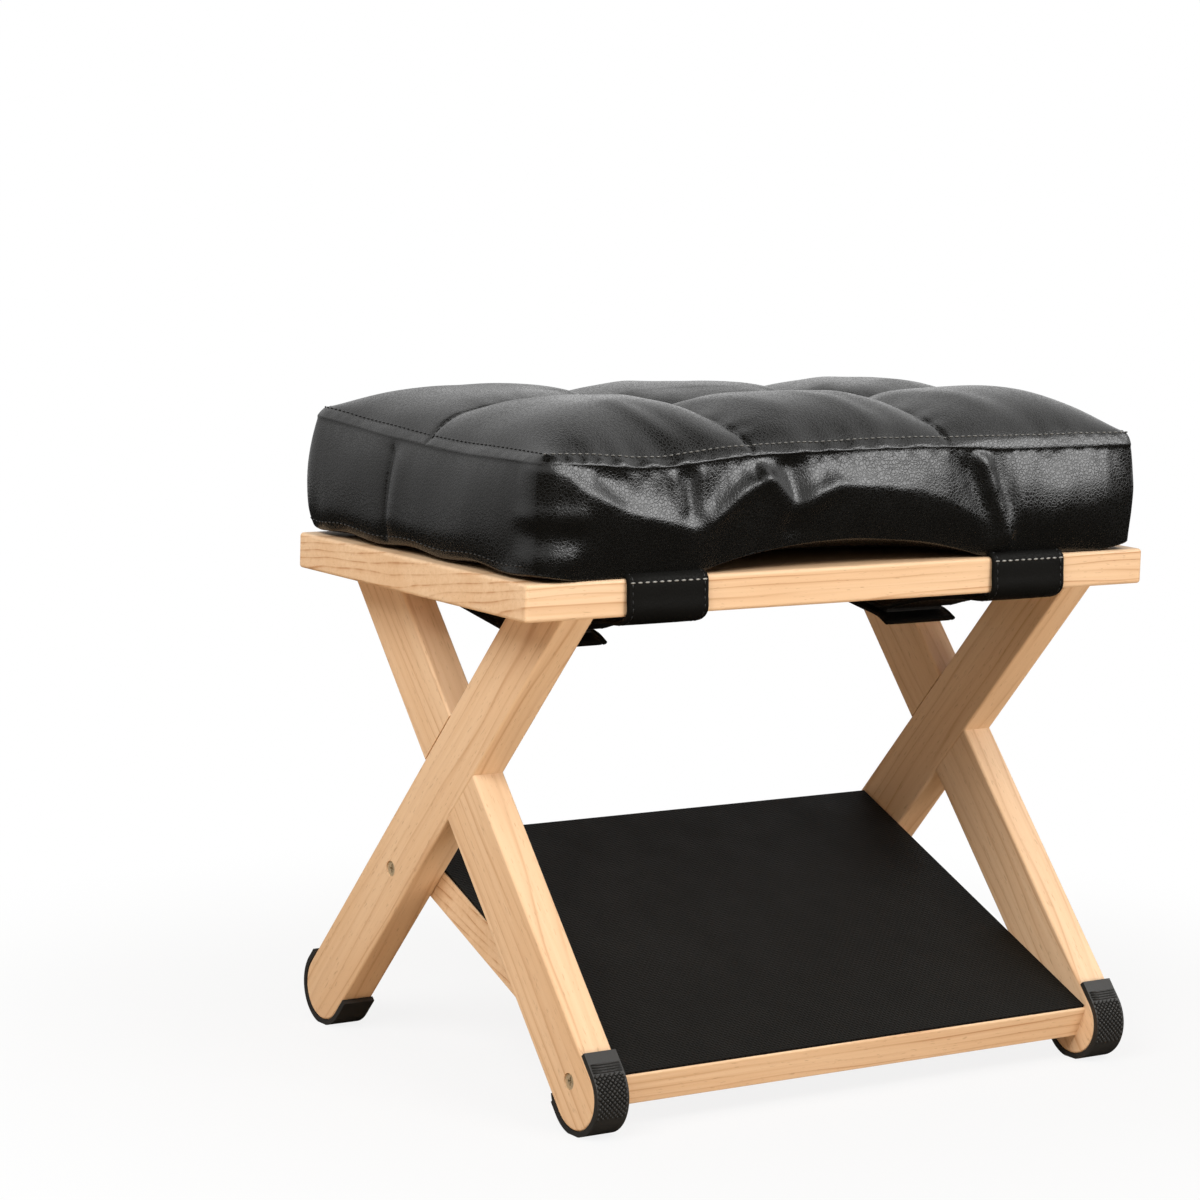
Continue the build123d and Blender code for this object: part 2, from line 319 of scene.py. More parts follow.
def start_group(name: str, inputs: dict[str, float | Point], outputs: Sequence[str]) -> NodeTree:
    """Start a shader node group that reads a vector.

    Args:
        name: The group's name.
        inputs: Default values by input name, besides the vector.
        outputs: Names of the values that it puts out.

    Returns:
        The group, with its input and output nodes named In and Out.
    """
    group = bpy.data.node_groups.new(name, "ShaderNodeTree")
    group.interface.new_socket("Vector", in_out="INPUT", socket_type="NodeSocketVector")
    for socket, default in inputs.items():
        kind = "NodeSocketVector" if isinstance(default, tuple) else "NodeSocketFloat"
        group.interface.new_socket(socket, in_out="INPUT", socket_type=kind).default_value = default
    for socket in outputs:
        group.interface.new_socket(socket, in_out="OUTPUT", socket_type="NodeSocketFloat")
    group.nodes.new("NodeGroupInput").name = "In"
    group.nodes.new("NodeGroupOutput").name = "Out"
    return group


def close_group(group: NodeTree, outputs: dict[str, NodeSocket]) -> NodeTree:
    """Join a group's outputs and give it back."""
    for name, socket in outputs.items():
        group.links.new(socket, group.nodes["Out"].inputs[name])
    return group


def beech_figure() -> NodeTree:
    """Growth lines, fibre and pores of plain-sawn beech, whose grain runs along the vector's X."""
    group = start_group("beech_figure", {"Across": Grain.ALONG_BOARD.value, "Line Spacing": 0.005},
                        ("Lines", "Fibre", "Pores", "Tone"))
    given = group.nodes["In"].outputs
    vector = given["Vector"]
    # Growth lines waver slowly along the grain
    waver = stretched_noise(group, vector, (2.6, 5.0, 26.0), 3.0)
    across = add_node(group, "ShaderNodeVectorMath", links={0: vector, 1: given["Across"]},
                      operation="DOT_PRODUCT")
    counted = math_node(group, "DIVIDE", across.outputs["Value"], given["Line Spacing"])
    bent = math_node(group, "ADD", counted, math_node(group, "MULTIPLY", waver, 5.0))
    ramp = add_node(group, "ShaderNodeValToRGB", links={"Fac": math_node(group, "FRACT", bent)})
    stops = ((0.0, 0.10), (0.50, 0.0), (0.78, 0.30), (0.91, 1.0), (1.0, 0.10))
    elements = ramp.color_ramp.elements
    while len(elements) < len(stops):
        elements.new(0.5)
    for element, (position, tone) in zip(elements, stops):
        element.position = position
        element.color = (*grey(tone), 1.0)
    # They fade in and out along their length
    patch = stretched_noise(group, vector, (7.0, 90.0, 90.0), 2.0)
    share = ranged(group, patch, (0.36, 0.62), (0.15, 1.0))
    return close_group(group, {
        "Lines": math_node(group, "MULTIPLY", ramp.outputs["Color"], share),
        "Fibre": stretched_noise(group, vector, (9.0, 420.0, 420.0), 4.0, 0.6),
        "Pores": ranged(group, stretched_noise(group, vector, (170.0, 1300.0, 1300.0), 1.0), (0.66, 0.74)),
        "Tone": stretched_noise(group, vector, (4.0, 34.0, 34.0), 2.0),
    })


def pebble_grain() -> NodeTree:
    """Pebbles of leatherette with fine creases between them, and slow patches of wear."""
    group = start_group("pebble_grain", {"Pebble Size": 0.0011}, ("Height", "Crease", "Wear"))
    given = group.nodes["In"].outputs
    vector, size = given["Vector"], given["Pebble Size"]
    # A noise bends the cells so that the creases wander
    stray = add_node(group, "ShaderNodeTexNoise", {"Scale": 420.0, "Detail": 1.0}, {"Vector": vector})
    shifted = add_node(group, "ShaderNodeVectorMath", links={
        0: stray.outputs["Color"], "Scale": math_node(group, "MULTIPLY", size, 1.1),
    }, operation="SCALE")
    bent = add_node(group, "ShaderNodeVectorMath", links={0: vector, 1: shifted.outputs[0]}, operation="ADD")
    cells = math_node(group, "DIVIDE", 1.0, size)
    edges = add_node(group, "ShaderNodeTexVoronoi", links={"Vector": bent.outputs[0], "Scale": cells},
                     feature="DISTANCE_TO_EDGE")
    pebble = ranged(group, edges.outputs["Distance"], (0.0, 0.22), interpolation="SMOOTHSTEP")
    wear = add_node(group, "ShaderNodeTexNoise", {"Scale": 26.0, "Detail": 3.0}, {"Vector": vector})
    return close_group(group, {
        "Height": pebble,
        "Crease": math_node(group, "SUBTRACT", 1.0, pebble),
        "Wear": wear.outputs["Fac"],
    })


def speckle() -> NodeTree:
    """Fine uneven speckle of moulded rubber, thread and metal."""
    group = start_group("speckle", {"Size": 0.0008}, ("Fine", "Broad"))
    given = group.nodes["In"].outputs
    scale = math_node(group, "DIVIDE", 1.0, given["Size"])
    fine = add_node(group, "ShaderNodeTexNoise", {"Detail": 3.0}, {"Vector": given["Vector"], "Scale": scale})
    broad = add_node(group, "ShaderNodeTexNoise", {"Scale": 35.0, "Detail": 2.0}, {"Vector": given["Vector"]})
    return close_group(group, {"Fine": fine.outputs["Fac"], "Broad": broad.outputs["Fac"]})


SHADER_GROUPS: dict[str, NodeTree] = {}


def place_group(tree: NodeTree, maker: Callable[[], NodeTree], vector: NodeSocket,
                **values: float | Point) -> dict[str, NodeSocket]:
    """Place a shared shader group in a material.

    Args:
        tree: The material's node tree.
        maker: The function that makes the group.
        vector: Where the group's pattern is read.
        values: Constant values by input name, with _ for a space.

    Returns:
        The group node's outputs by name.
    """
    if maker.__name__ not in SHADER_GROUPS:
        SHADER_GROUPS[maker.__name__] = maker()
    named = {name.replace("_", " ").title(): value for name, value in values.items()}
    node = add_node(tree, "ShaderNodeGroup", named, {"Vector": vector}, node_tree=SHADER_GROUPS[maker.__name__])
    return {socket.name: socket for socket in node.outputs}


# Finishes


@dataclass(frozen=True)
class Finish:
    """A procedural finish on Object coordinates."""

    name: str

    def material(self) -> Material:
        """Build the finish's material."""
        material, tree, shader = new_material(self.name)
        self.wire(tree, shader, add_node(tree, "ShaderNodeTexCoord").outputs["Object"])
        return material

    def wire(self, tree: NodeTree, shader: Node, place: NodeSocket) -> None:
        """Add the finish's nodes.

        Args:
            tree: The material's node tree.
            shader: Its Principled shader.
            place: The Object coordinates.
        """
        raise NotImplementedError

    def surface(self, tree: NodeTree, shader: Node, colour: NodeSocket, rough: NodeSocket,
                gloss: float) -> None:
        """Join a shader's colour and roughness and set its gloss.

        Args:
            tree: The material's node tree.
            shader: Its Principled shader.
            colour: The colour's socket.
            rough: The roughness's socket.
            gloss: The specular level.
        """
        tree.links.new(colour, shader.inputs["Base Color"])
        tree.links.new(rough, shader.inputs["Roughness"])
        shader.inputs["Specular IOR Level"].default_value = gloss


@dataclass(frozen=True)
class BeechFinish(Finish):
    """Clear-lacquered beech, with its grain along one direction."""

    grain: Grain = Grain.ALONG_BOARD
    turn: float = 0.0  # about X, from upright to the grain of a leg
    shift: Point = (0.0, 0.0, 0.0)
    line_spacing: float = 0.0052
    line_depth: float = 0.92
    pore_depth: float = 0.35
    light: Colour = (0.794, 0.572, 0.372)
    warm: Colour = (0.718, 0.476, 0.280)
    fibre: Colour = (0.694, 0.460, 0.268)
    line: Colour = (0.460, 0.220, 0.090)
    pore: Colour = (0.330, 0.170, 0.075)
    roughness: Span = (0.42, 0.58)
    gloss: float = 0.35
    relief: float = 0.00012

    def wire(self, tree: NodeTree, shader: Node, place: NodeSocket) -> None:
        """Lay fibre, growth lines and pores over a pale and a warm tone."""
        moved = {"Location": self.shift, "Rotation": (self.turn, 0.0, 0.0)}
        vector = add_node(tree, "ShaderNodeMapping", moved, {"Vector": place}).outputs[0]
        if self.grain is Grain.ALONG_LEG:
            parted = add_node(tree, "ShaderNodeSeparateXYZ", links={0: vector})
            axes = {number: parted.outputs[axis] for number, axis in enumerate("ZXY")}
            vector = add_node(tree, "ShaderNodeCombineXYZ", links=axes).outputs[0]
        figure = place_group(tree, beech_figure, vector, line_spacing=self.line_spacing,
                             across=self.grain.value)
        colour = tint(tree, ranged(tree, figure["Tone"], (0.35, 0.68), (0.0, 0.8)), self.light, self.warm)
        colour = tint(tree, ranged(tree, figure["Fibre"], (0.42, 0.75), (0.0, 0.7)), colour, self.fibre)
        colour = tint(tree, math_node(tree, "MULTIPLY", figure["Lines"], self.line_depth), colour, self.line)
        colour = tint(tree, math_node(tree, "MULTIPLY", figure["Pores"], self.pore_depth), colour, self.pore)
        self.surface(tree, shader, colour, ranged(tree, figure["Fibre"], target=self.roughness), self.gloss)
        bump(tree, shader, math_node(tree, "SUBTRACT", figure["Fibre"], figure["Pores"]), self.relief, 0.6)


@dataclass(frozen=True)
class LeatheretteFinish(Finish):
    """Black leatherette with a pebbled grain and a soft gloss."""

    colour: Colour = (0.0028, 0.0027, 0.0023)
    worn: Colour = (0.0046, 0.0044, 0.0038)
    pebble_size: float = 0.0019
    pebble_height: float = 0.000055
    roughness: Span = (0.16, 0.23)
    crease_roughness: float = 0.20
    gloss: float = 0.50

    def wire(self, tree: NodeTree, shader: Node, place: NodeSocket) -> None:
        """Dull the creases between the pebbles and wear the black a little in patches."""
        grain = place_group(tree, pebble_grain, place, pebble_size=self.pebble_size)
        colour = tint(tree, grain["Wear"], self.colour, self.worn)
        rough = ranged(tree, grain["Wear"], (0.3, 0.7), self.roughness)
        dulled = math_node(tree, "MULTIPLY_ADD", grain["Crease"], self.crease_roughness, rough)
        self.surface(tree, shader, colour, dulled, self.gloss)
        bump(tree, shader, grain["Height"], self.pebble_height, 0.8)


@dataclass(frozen=True)
class RubberFinish(Finish):
    """Moulded black rubber."""

    colour: Colour = (0.016, 0.0155, 0.0145)
    dusty: Colour = (0.030, 0.029, 0.027)
    grain_size: float = 0.0009
    roughness: Span = (0.48, 0.66)
    gloss: float = 0.4
    relief: float = 0.00012

    def wire(self, tree: NodeTree, shader: Node, place: NodeSocket) -> None:
        """Dust the rubber in broad patches over a fine grain."""
        grain = place_group(tree, speckle, place, size=self.grain_size)
        colour = tint(tree, grain["Broad"], self.colour, self.dusty)
        self.surface(tree, shader, colour, ranged(tree, grain["Broad"], target=self.roughness), self.gloss)
        bump(tree, shader, grain["Fine"], self.relief, 0.5)


@dataclass(frozen=True)
class MatFinish(Finish):
    """Non-slip mat with a fine diagonal weave."""

    slope: float
    pitch: float = 0.0024
    colour: Colour = (0.0034, 0.0033, 0.0028)
    raised: Colour = (0.0092, 0.0088, 0.0078)
    grain_size: float = 0.0011
    roughness: Span = (0.62, 0.82)
    gloss: float = 0.14
    relief: float = 0.0005

    def wire(self, tree: NodeTree, shader: Node, place: NodeSocket) -> None:
        """Weave two sets of diagonal ribs, uneven with a fine grain."""
        flat = add_node(tree, "ShaderNodeMapping", {"Rotation": (-self.slope, 0.0, 0.0)}, {"Vector": place})
        parted = add_node(tree, "ShaderNodeSeparateXYZ", links={0: flat.outputs[0]})
        turns = 2 * math.pi / (self.pitch * math.sqrt(2))
        waves = []
        for operation in ("ADD", "SUBTRACT"):
            diagonal = math_node(tree, operation, parted.outputs["X"], parted.outputs["Y"])
            waves.append(math_node(tree, "SINE", math_node(tree, "MULTIPLY", diagonal, turns)))
        weave = math_node(tree, "MULTIPLY_ADD", math_node(tree, "MAXIMUM", *waves), 0.5, 0.5)
        grain = place_group(tree, speckle, place, size=self.grain_size)
        uneven = math_node(tree, "MULTIPLY", weave, grain["Fine"])
        colour = tint(tree, uneven, self.colour, self.raised)
        self.surface(tree, shader, colour, ranged(tree, grain["Broad"], target=self.roughness), self.gloss)
        bump(tree, shader, uneven, self.relief, 0.7)


@dataclass(frozen=True)
class MetalFinish(Finish):
    """Plated steel of a screw."""

    colour: Colour
    tarnish: Colour
    metallic: float = 1.0
    grain_size: float = 0.0006
    roughness: Span = (0.28, 0.45)
    gloss: float = 0.5
    relief: float = 0.00006

    def wire(self, tree: NodeTree, shader: Node, place: NodeSocket) -> None:
        """Tarnish the plating in a fine speckle."""
        grain = place_group(tree, speckle, place, size=self.grain_size)
        colour = tint(tree, grain["Fine"], self.colour, self.tarnish)
        self.surface(tree, shader, colour, ranged(tree, grain["Fine"], target=self.roughness), self.gloss)
        shader.inputs["Metallic"].default_value = self.metallic
        bump(tree, shader, grain["Fine"], self.relief, 0.4)


@dataclass(frozen=True)
class FibreFinish(Finish):
    """Thread, foam or hook-and-loop pile: a dull surface with a fine uneven grain."""

    colour: Colour
    pale: Colour
    grain_size: float
    relief: float
    roughness: float

    def wire(self, tree: NodeTree, shader: Node, place: NodeSocket) -> None:
        """Mix two tones in a fine speckle."""
        grain = place_group(tree, speckle, place, size=self.grain_size)
        tree.links.new(tint(tree, grain["Fine"], self.colour, self.pale), shader.inputs["Base Color"])
        shader.inputs["Roughness"].default_value = self.roughness
        bump(tree, shader, grain["Fine"], self.relief, 0.8)


# Geometry Nodes trees for what repeats


def start_tree(name: str, inputs: dict[str, float]) -> NodeTree:
    """Start a Geometry Nodes tree with a geometry and a material input.

    Args:
        name: The tree's name.
        inputs: Default sizes by input name.

    Returns:
        The tree, with its input and output nodes named In and Out.
    """
    tree = bpy.data.node_groups.new(name, "GeometryNodeTree")
    tree.interface.new_socket("Geometry", in_out="INPUT", socket_type="NodeSocketGeometry")
    for socket, default in inputs.items():
        tree.interface.new_socket(socket, in_out="INPUT", socket_type="NodeSocketFloat").default_value = default
    tree.interface.new_socket("Material", in_out="INPUT", socket_type="NodeSocketMaterial")
    tree.interface.new_socket("Geometry", in_out="OUTPUT", socket_type="NodeSocketGeometry")
    tree.nodes.new("NodeGroupInput").name = "In"
    tree.nodes.new("NodeGroupOutput").name = "Out"
    return tree


def close_tree(tree: NodeTree, points: NodeSocket, instance: NodeSocket, turn: NodeSocket,
               size: Sequence[NodeSocket]) -> NodeTree:
    """Put an instance on each point, make them real and give them the material.

    Args:
        tree: The tree.
        points: Where the instances go.
        instance: The shape of one.
        turn: How each is turned.
        size: Their size along each axis.

    Returns:
        The finished tree.
    """
    scale = add_node(tree, "ShaderNodeCombineXYZ", links=dict(enumerate(size)))
    placed = add_node(tree, "GeometryNodeInstanceOnPoints", links={
        "Points": points, "Instance": instance, "Rotation": turn, "Scale": scale.outputs[0],
    })
    real = add_node(tree, "GeometryNodeRealizeInstances", links={0: placed.outputs[0]})
    smooth = add_node(tree, "GeometryNodeSetShadeSmooth", links={0: real.outputs[0]})
    painted = add_node(tree, "GeometryNodeSetMaterial", links={
        "Geometry": smooth.outputs[0], "Material": tree.nodes["In"].outputs["Material"],
    })
    tree.links.new(painted.outputs[0], tree.nodes["Out"].inputs[0])
    return tree


def stitch_tree() -> NodeTree:
    """A row of stitches along each edge chain of the input mesh."""
    tree = start_tree("stitch_row", {"Pitch": 0.004, "Stitch Length": 0.003, "Thread Radius": 0.0004})
    given = tree.nodes["In"].outputs
    curve = add_node(tree, "GeometryNodeMeshToCurve", links={0: given["Geometry"]})
    spaced = add_node(tree, "GeometryNodeResampleCurve", links={
        "Curve": curve.outputs[0], "Length": given["Pitch"],
    }, mode="LENGTH")
    tangent = add_node(tree, "GeometryNodeInputTangent")
    aligned = add_node(tree, "FunctionNodeAlignRotationToVector", links={"Vector": tangent.outputs[0]},
                       axis="X")
    bead = add_node(tree, "GeometryNodeMeshUVSphere", {"Segments": 6, "Rings": 5, "Radius": 0.5})
    thick = math_node(tree, "MULTIPLY", given["Thread Radius"], 2.0)
    return close_tree(tree, spaced.outputs[0], bead.outputs[0], aligned.outputs[0],
                      (given["Stitch Length"], thick, thick))


def stud_tree() -> NodeTree:
    """A four-sided stud on each face of the input mesh, standing along the face's normal."""
    tree = start_tree("stud_field", {"Width": 0.002, "Length": 0.002, "Height": 0.0006, "Turn": 0.0})
    given = tree.nodes["In"].outputs
    normal = add_node(tree, "GeometryNodeInputNormal")
    kept = add_node(tree, "GeometryNodeCaptureAttribute", links={0: given["Geometry"]}, domain="FACE")
    kept.capture_items.new("VECTOR", "Normal")
    tree.links.new(normal.outputs[0], kept.inputs["Normal"])
    points = add_node(tree, "GeometryNodeMeshToPoints", links={"Mesh": kept.outputs[0]}, mode="FACES")
    upright = add_node(tree, "FunctionNodeAlignRotationToVector", links={"Vector": kept.outputs["Normal"]},
                       axis="Z")
    flat = add_node(tree, "FunctionNodeAlignRotationToVector", {"Vector": (1.0, 0.0, 0.0)},
                    {"Rotation": upright.outputs[0]}, axis="X", pivot_axis="Z")
    shape = {"Vertices": 4, "Radius Top": 0.28, "Radius Bottom": 0.7071, "Depth": 1.0}
    cone = add_node(tree, "GeometryNodeMeshCone", shape)
    spin = add_node(tree, "ShaderNodeCombineXYZ", links={2: given["Turn"]})
    turned = add_node(tree, "GeometryNodeTransform", links={
        "Geometry": cone.outputs[0], "Rotation": spin.outputs[0],
    })
    return close_tree(tree, points.outputs[0], turned.outputs[0], flat.outputs[0],
                      (given["Width"], given["Length"], given["Height"]))


GEOMETRY_TREES: dict[str, NodeTree] = {}


def grow(name: str, seed: Object, maker: Callable[[], NodeTree], values: dict[str, object]) -> Object:
    """Run a Geometry Nodes tree on a seed mesh and keep the result as a plain mesh.

    Args:
        name: The new piece's name.
        seed: The object that the tree starts from, which is removed.
        maker: The function that makes the tree.
        values: Values by input name.

    Returns:
        The new piece.
    """
    if maker.__name__ not in GEOMETRY_TREES:
        GEOMETRY_TREES[maker.__name__] = maker()
    tree = GEOMETRY_TREES[maker.__name__]
    modifier = seed.modifiers.new("grow", "NODES")
    modifier.node_group = tree
    for item in tree.interface.items_tree:
        if item.in_out == "INPUT" and item.name in values:
            modifier[item.identifier] = values[item.name]
    bpy.context.view_layer.update()
    mesh = settled(seed)
    seed.modifiers.remove(modifier)
    bpy.data.objects.remove(seed)
    mesh.name = name
    return link(bpy.data.objects.new(name, mesh))


def settled(piece: Object) -> Mesh:
    """A new mesh of a piece as its modifiers leave it."""
    return bpy.data.meshes.new_from_object(piece.evaluated_get(bpy.context.evaluated_depsgraph_get()))


def chain_seed(chains: Iterable[np.ndarray]) -> Object:
    """Make an object of edge chains, for a tree to follow.

    Args:
        chains: Rows of points, one array for each chain.

    Returns:
        The seed object.
    """
    points: list[Point] = []
    edges: list[tuple[int, int]] = []
    for chain in chains:
        first = len(points)
        points.extend(tuple(map(float, point)) for point in chain)
        edges.extend((first + number, first + number + 1) for number in range(len(chain) - 1))
    mesh = bpy.data.meshes.new("seed")
    mesh.from_pydata(points, edges, [])
    return link(bpy.data.objects.new("seed", mesh))


@dataclass
class Sewing:
    """Stitch rows of one thread."""

    thread: Material
    pitch: float = 0.0042
    length: float = 0.0031
    radius: float = 0.00042

    def sew(self, name: str, chains: Iterable[np.ndarray]) -> Object:
        """Sew rows of stitches.

        Args:
            name: The piece's name.
            chains: The lines to follow.

        Returns:
            One piece with all the stitches.
        """
        return grow(name, chain_seed(chains), stitch_tree, {
            "Pitch": self.pitch, "Stitch Length": self.length, "Thread Radius": self.radius,
            "Material": self.thread,
        })


# Sub-assemblies


@dataclass
class WoodFrame:
    """Top board, leg frames and footboard, dressed as beech with the grain along each piece."""

    slope: float = math.radians(22.8)
    board_shift: Point = (0.13, 0.021, 0.0042)
    footboard_shift: Point = (0.31, 0.047, 0.0187)
    leg_shift: Point = (0.017, 0.031, 0.11)
    leg_start: float = 0.2
    leg_line_spacing: float = 0.0062
    leg_line_depth: float = 0.58

    def dress(self) -> None:
        """Give each wooden piece its finish."""
        finishes = {
            "top_board": BeechFinish("beech_top_board", shift=self.board_shift),
            "footboard": BeechFinish("beech_footboard", turn=-self.slope, shift=self.footboard_shift),
        }
        for side, end, word in CORNERS:
            x, y, z = self.leg_shift
            shift = (x * side.value, y * end.value, self.leg_start + z * side.value * end.value)
            finishes[f"{word}_leg"] = BeechFinish(
                f"beech_{word}_leg", Grain.ALONG_LEG, -end.value * LEG_LEAN, shift,
                line_spacing=self.leg_line_spacing, line_depth=self.leg_line_depth,
            )
        for name, finish in finishes.items():
            dress(frame["nodes"][name], finish.material())
            log.info("%s dressed, grain turned by %.1f degrees", name, math.degrees(finish.turn))


@dataclass
class FootStrips:
    """Rubber strips round the leg ends, with fine ridges at the top and rows of studs below them."""

    rubber: Material
    margin: float = 0.0010
    stud_pitch: float = 0.0030
    stud_size: float = 0.0021
    stud_height: float = 0.0007
    stud_reach: Span = (-0.0100, 0.0148)  # up the outer face, from straight out
    ridge_pitch: float = 0.0015
    ridge_share: float = 0.7  # of the pitch, for the ridge itself
    ridge_height: float = 0.0004
    ridge_reach: Span = (0.0158, 0.0218)

    def face_place(self, radius: float, run: float) -> tuple[float, float]:
        """Find a place on a strip's outer face, which is round at the foot and straight up the leg.

        Args:
            radius: The round's outer radius.
            run: How far up the face the place is, from straight out.

        Returns:
            Its distance outwards and upwards from the round's centre.
        """
        turn = min(run / radius, LEG_LEAN)
        over = run - turn * radius
        cos, sin = math.cos(turn), math.sin(turn)
        return radius * cos - over * sin, radius * sin + over * cos

    def patch(self, strip: tuple[Vector, Vector], outward: int, runs: np.ndarray, columns: int,
              checker: bool) -> Object:
        """Make a seed of small faces on the outer face of a strip.

        Args:
            strip: Lowest and highest corner of the strip.
            outward: Which way along Y the foot points.
            runs: Row borders, from straight out, upwards.
            columns: Faces across the strip.
            checker: Whether every other face is left out.

        Returns:
            The seed object.
        """
        low, high = strip
        reach = max(abs(low.y), abs(high.y))
        foot = min(abs(mount["pos_m"][1]) for mount in frame["record"]["mounts"])
        radius = reach - foot
        across = np.linspace(low.x + self.margin, high.x - self.margin, columns + 1)
        places = [self.face_place(radius, run) for run in runs]
        points = [(x, outward * (foot + out), radius + up) for out, up in places for x in across]
        faces = []
        for row in range(len(runs) - 1):
            for column in range(columns):
                if checker and (row + column) % 2:
                    continue
                first = row * (columns + 1) + column
                face = [first, first + 1, first + columns + 2, first + columns + 1]
                faces.append(face if outward < 0 else face[::-1])
        return new_piece("seed", np.array(points), faces, smooth=False)

    def build(self) -> None:
        """Dress the strips and add their studs and ridges."""
        for _, end, word in CORNERS:
            node = f"{word}_foot_strip"
            dress(frame["nodes"][node], self.rubber)
            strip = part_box(node)
            width = strip[1].x - strip[0].x - 2 * self.margin
            # Half a pitch to a face, as every other face has a stud
            step = self.stud_pitch / 2
            rows = round((self.stud_reach[1] - self.stud_reach[0]) / step)
            seed = self.patch(strip, end.value, np.linspace(*self.stud_reach, rows + 1), round(width / step),
                              checker=True)
            studs = grow(f"{word}_foot_studs", seed, stud_tree, {
                "Width": self.stud_size, "Length": self.stud_size, "Height": self.stud_height,
                "Material": self.rubber,
            })
            rows = round((self.ridge_reach[1] - self.ridge_reach[0]) / self.ridge_pitch)
            seed = self.patch(strip, end.value, np.linspace(*self.ridge_reach, rows + 1), 1, checker=False)
            ridges = grow(f"{word}_foot_ridges", seed, stud_tree, {
                "Width": width, "Length": self.ridge_pitch * self.ridge_share, "Height": self.ridge_height,
                "Turn": math.pi / 4, "Material": self.rubber,
            })
            for piece in (studs, ridges):
                hand_over(piece, "frame")


def catmull(points: np.ndarray, steps: int = 12) -> np.ndarray:
    """Run a smooth line through points.

    Args:
        points: The points to pass.
        steps: Points of the line for each stretch.

    Returns:
        The line's points.
    """
    ends = np.vstack([2 * points[0] - points[1], points, 2 * points[-1] - points[-2]])
    line = []
    for a, b, c, d in zip(ends, ends[1:], ends[2:], ends[3:]):
        for t in np.linspace(0, 1, steps, endpoint=False):
            line.append(0.5 * (2 * b + (c - a) * t + (2 * a - 5 * b + 4 * c - d) * t ** 2
                               + (3 * b - a - 3 * c + d) * t ** 3))
    line.append(points[-1])
    return np.array(line)


def resample(line: np.ndarray, step: float) -> np.ndarray:
    """Space points evenly along a line.

    Args:
        line: The line's points.
        step: The distance between points, about.

    Returns:
        The new points, with both ends kept.
    """
    runs = np.append(0.0, np.cumsum(np.linalg.norm(np.diff(line, axis=0), axis=1)))
    places = np.linspace(0, runs[-1], max(2, round(runs[-1] / step)) + 1)
    return np.column_stack([np.interp(places, runs, line[:, axis]) for axis in range(3)])


